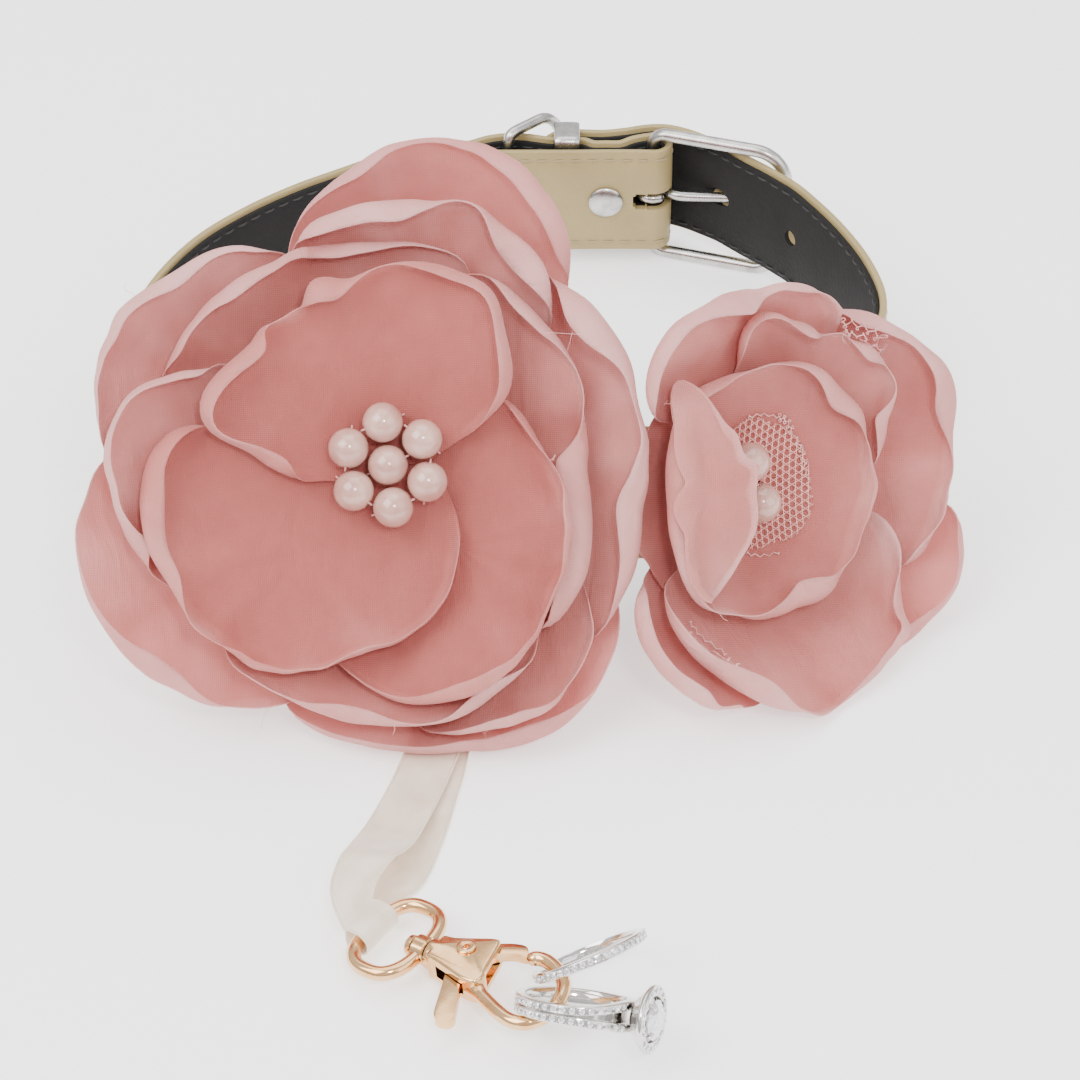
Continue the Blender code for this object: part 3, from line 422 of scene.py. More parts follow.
def tube(pts, r, sides=14, closed=False, flat=None, up0=None):
    """Swept round tube; r a number or per-point list; rounded ends. Returns verts, faces."""
    p = np.asarray(pts, float)
    n = len(p)
    rr = np.full(n, float(r)) if np.isscalar(r) else np.asarray(r, float)
    tan = unit(np.roll(p, -1, 0) - np.roll(p, 1, 0)) if closed else unit(np.gradient(p, axis=0))
    up = np.array(up0 if up0 is not None else (0, 0, 1.0))
    if abs(tan[0] @ up) > 0.95:
        up = np.array([1.0, 0, 0])
    a = unit(up - tan[0] * (tan[0] @ up))
    fr = [a]
    for i in range(1, n):
        a = a - tan[i] * (tan[i] @ a)
        a = a / np.linalg.norm(a)
        fr.append(a)
    fr = np.array(fr)
    if closed:
        b0 = np.cross(tan[0], fr[0])
        end = fr[-1] - tan[0] * (tan[0] @ fr[-1])
        ang = math.atan2(end @ b0, end @ fr[0])
        for i in range(n):
            th = -ang * i / n
            b = np.cross(tan[i], fr[i])
            fr[i] = fr[i] * math.cos(th) + b * math.sin(th)
    bn = np.cross(tan, fr)
    th = np.linspace(0, 2 * np.pi, sides, endpoint=False)
    fa, fb = flat if flat else (1.0, 1.0)
    rows = []
    if not closed:
        for s in (0.985, 0.8, 0.45):
            rows.append((p[0] - tan[0] * rr[0] * math.cos(math.asin(1 - s)) * (0.55 if s < 0.5 else 0.9), fr[0], bn[0], rr[0] * (1 - s) ** 0.5 if s > 0.5 else rr[0] * 0.9))
        rows[0] = (p[0] - tan[0] * rr[0] * 0.98, fr[0], bn[0], rr[0] * 0.2)
        rows[1] = (p[0] - tan[0] * rr[0] * 0.78, fr[0], bn[0], rr[0] * 0.62)
        rows[2] = (p[0] - tan[0] * rr[0] * 0.42, fr[0], bn[0], rr[0] * 0.9)
    for i in range(n):
        rows.append((p[i], fr[i], bn[i], rr[i]))
    if not closed:
        rows.append((p[-1] + tan[-1] * rr[-1] * 0.42, fr[-1], bn[-1], rr[-1] * 0.9))
        rows.append((p[-1] + tan[-1] * rr[-1] * 0.78, fr[-1], bn[-1], rr[-1] * 0.62))
        rows.append((p[-1] + tan[-1] * rr[-1] * 0.98, fr[-1], bn[-1], rr[-1] * 0.2))
    V, F = [], []
    for c, f, b_, r_ in rows:
        for t in th:
            V.append(c + r_ * (fa * math.cos(t) * f + fb * math.sin(t) * b_))
    m = len(rows)
    for i in range(m if closed else m - 1):
        for j in range(sides):
            a0, a1 = i * sides + j, i * sides + (j + 1) % sides
            b0, b1 = ((i + 1) % m) * sides + j, ((i + 1) % m) * sides + (j + 1) % sides
            F.append((a0, a1, b1, b0))
    if not closed:
        F.append(tuple(range(sides))[::-1])
        F.append(tuple((m - 1) * sides + j for j in range(sides)))
    return np.array(V), F


def revolve(profile, n, origin, ax, x0):
    """Closed solid from (radius, height) rows, first and last on the axis or joined."""
    z = unit(ax)
    x = unit(np.asarray(x0, float) - z * (z @ np.asarray(x0, float)))
    y = np.cross(z, x)
    pr = list(profile)
    closed = pr[0][0] > 1e-6 and pr[-1][0] > 1e-6
    V, F, ring = [], [], []
    for r, h in pr:
        if r <= 1e-6:
            ring.append([len(V)])
            V.append(np.asarray(origin) + z * h)
        else:
            ids = []
            for k in range(n):
                t = 2 * math.pi * k / n
                ids.append(len(V))
                V.append(np.asarray(origin) + z * h + r * (math.cos(t) * x + math.sin(t) * y))
            ring.append(ids)
    pairs = list(zip(ring, ring[1:])) + ([(ring[-1], ring[0])] if closed else [])
    for a, b_ in pairs:
        for k in range(n):
            k2 = (k + 1) % n
            if len(a) == 1 and len(b_) == 1:
                continue
            if len(a) == 1:
                F.append((a[0], b_[k], b_[k2]))
            elif len(b_) == 1:
                F.append((a[k], b_[0], a[k2]))
            else:
                F.append((a[k], b_[k], b_[k2], a[k2]))
    return np.array(V), F


def join(parts):
    V, F, off = [], [], 0
    for v, f in parts:
        V.append(np.asarray(v))
        F += [tuple(i + off for i in q) for q in f]
        off += len(v)
    return np.vstack(V), F


def solidify(ob, t, offset=0.0):
    m = ob.modifiers.new("Solidify", "SOLIDIFY")
    m.thickness = t * MM
    m.offset = offset
    return m


def plate(outline, half, origin, X, Y, bevel=0.35, name="plate", mat=None, body="hook", replaces=(), cuts=()):
    """Outline (mm) extruded by +-half along X x Y and rounded; origin in design mm."""
    X, Y = unit(X), unit(Y)
    Z = np.cross(X, Y)
    bm = bmesh.new()
    o = [np.asarray(origin) + X * a + Y * b_ for a, b_ in outline]
    vs = [bm.verts.new(tuple(P(q - Z * half))) for q in o]
    f = bm.faces.new(vs)
    ex = bmesh.ops.extrude_face_region(bm, geom=[f])
    d = Vector(tuple(Z * 2 * half * MM))
    bmesh.ops.translate(bm, vec=d, verts=[g for g in ex["geom"] if isinstance(g, bmesh.types.BMVert)])
    bmesh.ops.recalc_face_normals(bm, faces=bm.faces)
    me = bpy.data.meshes.new(name)
    bm.to_mesh(me)
    bm.free()
    ob = bpy.data.objects.new(name, me)
    COL.objects.link(ob)
    me.materials.append(mat)
    for c in cuts:
        md = ob.modifiers.new("Cut", "BOOLEAN")
        md.object = c
        md.solver = "MANIFOLD"
    if bevel:
        md = ob.modifiers.new("Bevel", "BEVEL")
        md.width = bevel * MM
        md.segments = 3
        md.limit_method = "ANGLE"
        md.angle_limit = math.radians(38)
    return ob


def bake_mods(ob):
    dg = bpy.context.evaluated_depsgraph_get()
    dg.update()
    me = bpy.data.meshes.new_from_object(ob.evaluated_get(dg), depsgraph=dg)
    ob.modifiers.clear()
    ob.data = me
    return ob


def remove(*obs):
    for o in obs:
        bpy.data.objects.remove(o, do_unlink=True)


def finish_piece(ob, body, replaces=(), sharp=35.0):
    ob.data.shade_smooth()
    ob.data.set_sharp_from_angle(angle=math.radians(sharp))
    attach(ob, body)
    if replaces:
        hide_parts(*replaces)
    return ob


# ------------------------------------------------------------------ strap
HW = 12.7
SZ = 16.6
FLAP_Y = 99.3
HEEL = (24.4, 102.2)
FAR = (52.55, 93.3)
flap = [(-20.5, FLAP_Y + 0.12), (-12.0, FLAP_Y), (-3.0, FLAP_Y), (6.0, FLAP_Y), (14.0, FLAP_Y + 0.12), (20.0, FLAP_Y + 0.12)]
fold = [(HEEL[0] + 2.9 * math.cos(math.radians(a)), HEEL[1] + 2.9 * math.sin(math.radians(a))) for a in range(-90, 91, 20)]
outer = [(20.4, 103.9), (17.4, 102.1), (14.2, 102.0), (11.5, 102.0), (9.4, 103.2), (7.6, 103.4), (5.8, 103.4), (3.8, 103.45),
         (1.5, 103.6), (-3.0, 104.7), (-7.0, 104.9), (-11.0, 104.0), (-15.0, 102.0), (-18.0, 101.9),
         (-23.5, 101.5), (-31.0, 98.3)]
STRAP = [(x, y, SZ, 0.0, HW) for x, y in flap + fold + outer]
STRAP += [
    (-42.3, 91.7, 16.3, 0, HW), (-52.0, 86.0, 15.8, 0, HW), (-62.0, 78.2, 15.3, 0, HW),
    (-71.0, 68.5, 14.8, 0, HW), (-78.2, 55.5, 14.3, 1, HW), (-82.6, 41.0, 14.3, 4, HW),
    (-84.2, 26.0, 15.4, 9, HW), (-81.5, 11.5, 18.6, 17, HW), (-73.0, 0.5, 23.0, 26, HW),
    (-60.5, -6.5, 27.0, 34, HW), (-45.0, -9.8, 29.4, 38, HW), (-28.65, -9.5, 29.8, 38.8, HW),
    (-12.0, -9.4, 28.6, 38.5, HW), (5.0, -10.2, 26.0, 37, HW), (18.0, -9.6, 23.4, 35, HW),
    (30.3, -5.2, 21.4, 32.6, HW), (42.5, 3.5, 20.0, 29, HW), (53.0, 13.5, 18.5, 19, HW),
    (62.0, 24.5, 17.2, 9, HW), (67.4, 35.5, 16.6, 3, HW), (69.0, 46.5, 16.5, 1, HW),
    (66.6, 59.0, 16.5, 0, HW), (61.6, 72.0, 16.5, 0, HW), (54.9, 84.0, 16.6, 0, HW),
    (51.2, 88.7, SZ, 0, HW), (47.8, 92.4, SZ, 0, HW), (44.7, 95.4, SZ, 0, HW),
    (42.0, 98.2, SZ, 0, HW), (39.0, 101.3, SZ, 0, HW), (35.6, 103.9, SZ, 0, HW),
    (31.6, 106.6, SZ, 0, HW), (27.5, 108.3, SZ, 0, HW), (23.5, 108.3, SZ, 0, HW),
    (18.5, 107.0, SZ, 0, HW), (14.0, 106.2, SZ, 0, HW), (10.0, 106.3, SZ, 0, HW),
    (5.8, 106.4, SZ, 0, HW), (3.6, 106.5, SZ, 0, HW * 0.97), (1.4, 106.8, SZ, 0, HW * 0.86),
    (-0.6, 107.2, SZ, 0, HW * 0.68), (-2.2, 107.6, SZ, 0, HW * 0.42),
]
path = catmull(STRAP, 6)
tan = np.gradient(path[:, :2], axis=0)
tan = np.hstack([unit(tan), np.zeros((len(tan), 1))])
out_h = np.cross(tan, (0, 0, 1.0))
ln = np.radians(path[:, 3])[:, None]
ZU = np.array([0, 0, 1.0])
OUT = out_h * np.cos(ln) + ZU * np.sin(ln)
WID = ZU * np.cos(ln) - out_h * np.sin(ln)
arc = np.concatenate([[0], np.cumsum(np.linalg.norm(np.diff(path[:, :3], axis=0), axis=1))])


def strap_ply(name, n0, n1, inset, groove, mat, replaces):
    """Closed strip with rounded edges between offsets n0 and n1 of the mid surface."""
    V, F, UV = [], [], []
    first, last = (0, len(path)) if inset == 0 else (4, len(path) - 4)
    t = n1 - n0
    r = min(0.45, t * 0.45)
    for i in range(first, last):
        h = path[i, 4] - inset
        ys = [-h, -h + r * 0.3, -h + r, -h + 1.5, -h + 1.95, -h + 2.45, -h + 2.9, -h * 0.5, 0.0]
        gs = [n1 - r, n1 - r * 0.3, n1, n1 + 0.03, n1 - groove, n1 - groove, n1 + 0.03, n1 + 0.07, n1 + 0.08]
        prof = list(zip(gs, ys)) + [(g, -y) for g, y in list(zip(gs, ys))[-2::-1]]
        prof += [(n0 + r, h), (n0 + r * 0.3, h - r * 0.3), (n0, h - r), (n0, 0.0), (n0, -h + r), (n0 + r * 0.3, -h + r * 0.3), (n0 + r, -h)]
        for g, y in prof:
            V.append(path[i, :3] + OUT[i] * g + WID[i] * y)
            UV.append((arc[i], y))
    m = len(prof)
    rows = last - first
    for i in range(rows - 1):
        for j in range(m):
            k = (j + 1) % m
            F.append((i * m + j, (i + 1) * m + j, (i + 1) * m + k, i * m + k))
    F.append(tuple(range(m)))
    F.append(tuple((rows - 1) * m + j for j in range(m))[::-1])
    me = bpy.data.meshes.new(name)
    me.from_pydata([tuple(q) for q in P(V)], [], F)
    me.update()
    bm = bmesh.new()
    bm.from_mesh(me)
    bmesh.ops.recalc_face_normals(bm, faces=bm.faces)
    bm.to_mesh(me)
    bm.free()
    ob = bpy.data.objects.new(name, me)
    COL.objects.link(ob)
    me.materials.append(mat)
    return ob


def cutter_box(lo, hi):
    a, b_ = P([lo])[0], P([hi])[0]
    me = bpy.data.meshes.new("cut")
    bm = bmesh.new()
    bmesh.ops.create_cube(bm, size=1.0)
    bmesh.ops.scale(bm, vec=Vector(b_ - a), verts=bm.verts)
    bmesh.ops.translate(bm, vec=Vector((a + b_) / 2), verts=bm.verts)
    bmesh.ops.bevel(bm, geom=bm.edges[:], offset=0.0006, segments=3, affect="EDGES")
    bm.to_mesh(me)
    bm.free()
    ob = bpy.data.objects.new("cut", me)
    COL.objects.link(ob)
    return ob


def cutter_tube(pts, r):
    v, f = tube(pts, r, 24)
    me = bpy.data.meshes.new("cut")
    me.from_pydata([tuple(q) for q in P(v)], [], f)
    bm = bmesh.new()
    bm.from_mesh(me)
    bmesh.ops.recalc_face_normals(bm, faces=bm.faces)
    bm.to_mesh(me)
    bm.free()
    ob = bpy.data.objects.new("cut", me)
    COL.objects.link(ob)
    return ob


shell = strap_ply("collar_strap_outer", -0.26, 1.2, 0.0, 0.16, M_LEATHER, ())
lining = strap_ply("collar_strap_lining", -1.2, -0.28, 0.9, 0.0, M_LINING, ())
arcp = [(HEEL[0] + 2.8 * math.cos(math.radians(a)), HEEL[1] + 2.8 * math.sin(math.radians(a))) for a in range(-60, -341, -28)]
rod = [(27.6, 102.1), (28.6, 101.2), (30.5, 100.5), (34.0, 100.2), (38.0, 100.0), (41.0, 99.7),
       (44.5, 99.0), (48.5, 97.8), (FAR[0] + 0.9, FAR[1] + 2.85), (FAR[0] + 2.9, FAR[1] + 2.3)]
slot_pts = catmull([(x, y, SZ) for x, y in [(32.5, 100.2)] + rod[3:-2] + [(50.4, 97.1)]], 4)
cuts = [cutter_box((22.6, 97.0, SZ - 2.0), (28.9, 106.6, SZ + 2.0)), cutter_box((20.1, 97.0, SZ - 1.9), (23.4, 106.0, SZ + 1.9)),
        cutter_tube(slot_pts, 2.0)]
for x in (14.2, -18.0):
    cuts.append(cutter_tube([(x, 97.0, SZ), (x, 98.7, SZ), (x, 100.0, SZ), (x, 102.2, SZ), (x, 104.0, SZ)], 1.4))
for (x, y), (dx, dy) in (((55.0, 85.3), (0.86, 0.51)),):
    cuts.append(cutter_tube([(x + dx * k, y + dy * k, SZ) for k in (-3, -1, 1, 3)], 1.8))
for ob in (shell, lining):
    for c in cuts:
        md = ob.modifiers.new("Cut", "BOOLEAN")
        md.object = c
        md.solver = "MANIFOLD"
    bake_mods(ob)
remove(*cuts)
finish_piece(shell, "collar", ("strap_shell",), 40)
finish_piece(lining, "collar", ("strap_lining",), 40)


def stitches(name, side, offset, mat, pitch=3.6, length=2.7, r=0.24):
    """Rows of thread dashes along both edges, on the outer (+1) or inner (-1) face."""
    V, F = [], []
    total = arc[-1] - 6
    s = 3.0
    while s < total:
        for sgn in (-1, 1):
            ss = np.array([s - length / 2, s - length / 4, s, s + length / 4, s + length / 2])
            idx = np.clip(np.searchsorted(arc, ss), 1, len(arc) - 1)
            f = ((ss - arc[idx - 1]) / (arc[idx] - arc[idx - 1]))[:, None]
            c = path[idx - 1] * (1 - f) + path[idx] * f
            o = OUT[idx - 1] * (1 - f) + OUT[idx] * f
            wd = WID[idx - 1] * (1 - f) + WID[idx] * f
            h = c[:, 4:5] - 2.2
            if h[2, 0] < 6:
                continue
            lift = np.array([-0.18, 0.06, 0.13, 0.06, -0.18])[:, None]
            p = c[:, :3] + wd * h * sgn + o * (offset + side * lift)
            v, fc = tube(p, [r * 0.6, r, r, r, r * 0.6], 6)
            off = sum(len(q) for q in V)
            V.append(v)
            F += [tuple(i + off for i in q) for q in fc]
        s += pitch
    v = np.vstack(V)
    return make(name, P(v), F, mat, "collar")


stitches("strap_stitching_outer", 1, 1.05, M_THREAD)
stitches("strap_stitching_inner", -1, -1.2, M_BLACK_THREAD)

# ------------------------------------------------------------------ buckle, keeper, D-ring, rivets
fdir = unit(np.array([FAR[0] - HEEL[0], FAR[1] - HEEL[1], 0.0]))
flen = math.hypot(FAR[0] - HEEL[0], FAR[1] - HEEL[1])
loop = []
for cx, cy, r, a0, k_n in ((3.0, 12.0, 3.0, 180, 8), (flen - 7.0, 8.0, 7.0, 90, 14)):
    for k in range(k_n + 1):
        a = math.radians(a0 - k * 90 / k_n)
        loop.append((cx + r * math.cos(a), cy + r * math.sin(a)))
loop = loop + [(x, -y) for x, y in reversed(loop)]
fine = []
for (x0, y0), (x1, y1) in zip(loop, loop[1:] + loop[:1]):
    n = max(1, int(math.hypot(x1 - x0, y1 - y0) / 1.6))
    for k in range(n):
        fine.append((x0 + (x1 - x0) * k / n, y0 + (y1 - y0) * k / n))
fp = np.array([np.array([HEEL[0], HEEL[1], SZ]) + fdir * x + ZU * y for x, y in fine])
v, f = tube(fp, 1.4, 20, closed=True)
make("buckle_frame_polished", P(v), f, M_SILVER, "buckle", replaces=("buckle_frame",))
pp = catmull([(x, y, SZ) for x, y in arcp + rod], 5)
rad = np.full(len(pp), 1.1)
rad[-6:] = np.linspace(1.08, 0.8, 6)
v, f = tube(pp, rad, 18)
make("buckle_prong_polished", P(v), f, M_SILVER, "prong", replaces=("buckle_prong",))

ky0, ky1 = 101.3, 108.5
kz = HW + 0.9
outline = []
for sx, sz, a0 in ((1, 1, 0), (-1, 1, 90), (-1, -1, 180), (1, -1, 270)):
    for k in range(9):
        a = math.radians(a0 + 90 * k / 8)
        outline.append(((ky0 + ky1) / 2 + sx * ((ky1 - ky0) / 2 - 1.0) + 1.0 * math.cos(a), SZ + sz * (kz - 1.0) + 1.0 * math.sin(a)))
ring = np.array(outline)
cen = ring.mean(0)
nrm = unit(np.roll(ring, -1, 0) - np.roll(ring, 1, 0))
nrm = np.stack([nrm[:, 1], -nrm[:, 0]], 1)
prof = [(-2.75, -0.25), (-2.75, 0.2), (-2.5, 0.44), (-1.2, 0.52), (0.0, 0.55), (1.2, 0.52), (2.5, 0.44), (2.75, 0.2),
        (2.75, -0.25), (2.5, -0.48), (0.0, -0.5), (-2.5, -0.48)]
V, F = [], []
for q, nn in zip(ring, nrm):
    for x, g in prof:
        V.append((5.8 + x, q[0] + nn[0] * g, q[1] + nn[1] * g))
m, k_n = len(prof), len(ring)
for i in range(k_n):
    for j in range(m):
        F.append((i * m + j, i * m + (j + 1) % m, ((i + 1) % k_n) * m + (j + 1) % m, ((i + 1) % k_n) * m + j))
make("keeper_band", P(V), F, M_SILVER, "keeper", sharp=50, replaces=("keeper_loop",))

lean = math.radians(48.0)
ddir = np.array([math.sin(lean), math.cos(lean), 0.0])
H = 14.6
half = [(0.0, 0.0), (0.0, H * 0.3), (0.0, H * 0.6), (0.1, H * 0.8), (0.5, H - 0.9), (1.4, H - 0.2), (3.0, H), (6.0, H)]
for k in range(15):
    a = math.radians(90 - k * 90 / 15)
    half.append((9.0 + 8.0 * math.cos(a), H * math.sin(a)))
dl = half + [(17.0, 0.0)] + [(x, -y) for x, y in reversed(half[1:])]
dp = catmull([np.array([-7.0, 102.0, SZ]) + ddir * x + ZU * y for x, y in dl], 2, closed=True)
v, f = tube(dp, 1.2, 18, closed=True)
make("d_ring_polished", P(v), f, M_SILVER, "d_ring", replaces=("d_ring",))

for tag, x in (("buckle", 14.2), ("ring", -18.0)):
    cap = [(0.0, 1.02), (0.5, 1.02), (1.4, 0.95), (2.3, 0.78), (3.1, 0.5), (3.55, 0.25), (3.7, 0.1), (3.6, 0.0), (0.0, 0.0)]
    v, f = revolve(cap[::-1], 36, (x, 97.8, SZ), (0, -1, 0), (1, 0, 0))
    make(f"rivet_cap_{tag}_polished", P(v), f, M_SILVER, "collar", sharp=50, replaces=(f"rivet_cap_{tag}",))
    st = [(0.0, 6.0), (1.2, 6.0), (1.2, 0.65), (2.5, 0.6), (2.9, 0.4), (2.9, 0.1), (2.7, 0.0), (0.0, 0.0)]
    v, f = revolve(st[::-1], 28, (x, 104.1, SZ), (0, -1, 0), (1, 0, 0))
    make(f"rivet_stud_{tag}_polished", P(v), f, M_SILVER, "collar", sharp=40, replaces=(f"rivet_stud_{tag}",))

# ------------------------------------------------------------------ flowers
PITCH = 1.3


class Flower:
    """Local frame u, v, w (mm) and the height of what is already laid on it."""

    def __init__(self, centre, u, v, w, curve, size):
        self.c = np.array(centre, float)
        self.u, self.v, self.w = unit(u), unit(v), unit(w)
        self.curve, self.size = curve, size
        self.n = int(size * 2 / 0.8)
        self.h = np.full((self.n, self.n), -60.0)

    def world(self, q):
        q = np.asarray(q, float)
        return self.c + q[..., 0:1] * self.u + q[..., 1:2] * self.v + q[..., 2:3] * self.w

    def cell(self, u, v):
        i = np.clip(((np.asarray(u) + self.size) / 0.8).astype(int), 1, self.n - 2)
        j = np.clip(((np.asarray(v) + self.size) / 0.8).astype(int), 1, self.n - 2)
        return i, j

    def top(self, u, v):
        i, j = self.cell(u, v)
        out = self.h[i, j]
        for di, dj in ((-1, 0), (1, 0), (0, -1), (0, 1)):
            out = np.maximum(out, self.h[i + di, j + dj])
        return out

    def lay(self, g):
        """Splat a grid (rows, cols, 3), periodic in cols, into the height map."""
        a, b_ = g[:-1], g[1:]
        a2, b2 = np.roll(a, -1, 1), np.roll(b_, -1, 1)
        for s in np.linspace(0, 1, 4):
            for t in np.linspace(0, 1, 4):
                q = (a * (1 - s) + b_ * s) * (1 - t) + (a2 * (1 - s) + b2 * s) * t
                q = q.reshape(-1, 3)
                i, j = self.cell(q[:, 0], q[:, 1])
                np.maximum.at(self.h, (i, j), q[:, 2])


def frame_uvw(axis):
    w = unit(axis)
    u = unit(np.cross((0, 0, 1.0), w))
    return u, np.cross(w, u), w


BU, BV, BW = frame_uvw((0.044, -0.778, 0.627))
BIG = Flower((-27.74, -25.59, 42.8), BU, BV, BW, 0.0053, 70)
t, p = math.radians(33.0), math.radians(40.0)
toward = np.array([0, -math.cos(p), math.sin(p)])
SU = np.array([1.0, 0, 0]) * math.cos(t) - toward * math.sin(t)
SW = np.array([1.0, 0, 0]) * math.sin(t) + toward * math.cos(t)
SV = np.cross(SW, SU)
SMALL = Flower((38.97, -15.31, 30.0), SU, SV, SW, 0.0098, 60)


def wobble(rng, th, lo, hi, power=1.0):
    out = np.zeros_like(th)
    for k in range(lo, hi + 1):
        out += rng.normal() / k ** power * np.cos(k * th + rng.uniform(0, 2 * math.pi))
    return out / max(1e-6, np.abs(out).max())


def inside(poly, u, v):
    x, y = poly[:, 0], poly[:, 1]
    x2, y2 = np.roll(x, -1), np.roll(y, -1)
    u, v = np.asarray(u)[:, None], np.asarray(v)[:, None]
    c = ((y > v) != (y2 > v)) & (u < (x2 - x) * (v - y) / np.where(np.abs(y2 - y) < 1e-9, 1e-9, y2 - y) + x)
    return (c.sum(1) % 2) == 1


NT = 120


def blur_ring(a, n):
    for _ in range(n):
        a = (np.roll(a, 1) + 2 * a + np.roll(a, -1)) / 4
    return a


def outline_radii(cu, cv, a, b_, turn, pts):
    """Radius of the petal's edge round (cu, cv): the given points, and the plain oval where it is hidden."""
    th = np.linspace(0, 2 * np.pi, NT, endpoint=False)
    tr = math.radians(turn)
    ell = 0.93 / np.sqrt((np.cos(th - tr) / a) ** 2 + (np.sin(th - tr) / b_) ** 2)
    q = np.asarray(pts, float) - (cu, cv)
    ang = np.mod(np.arctan2(q[:, 1], q[:, 0]), 2 * np.pi)
    rad = np.hypot(q[:, 0], q[:, 1])
    o = np.argsort(ang)
    ang, rad = ang[o], rad[o]
    R = np.interp(th, np.concatenate([ang[-1:] - 2 * np.pi, ang, ang[:1] + 2 * np.pi]), np.concatenate([rad[-1:], rad, rad[:1]]))
    d = np.min(np.abs(np.angle(np.exp(1j * (th[:, None] - ang[None, :])))), axis=1)
    wgt = np.clip((np.degrees(d) - 12) / 16, 0, 1)
    R = R * (1 - wgt) + ell * wgt
    return th, blur_ring(R, 6)


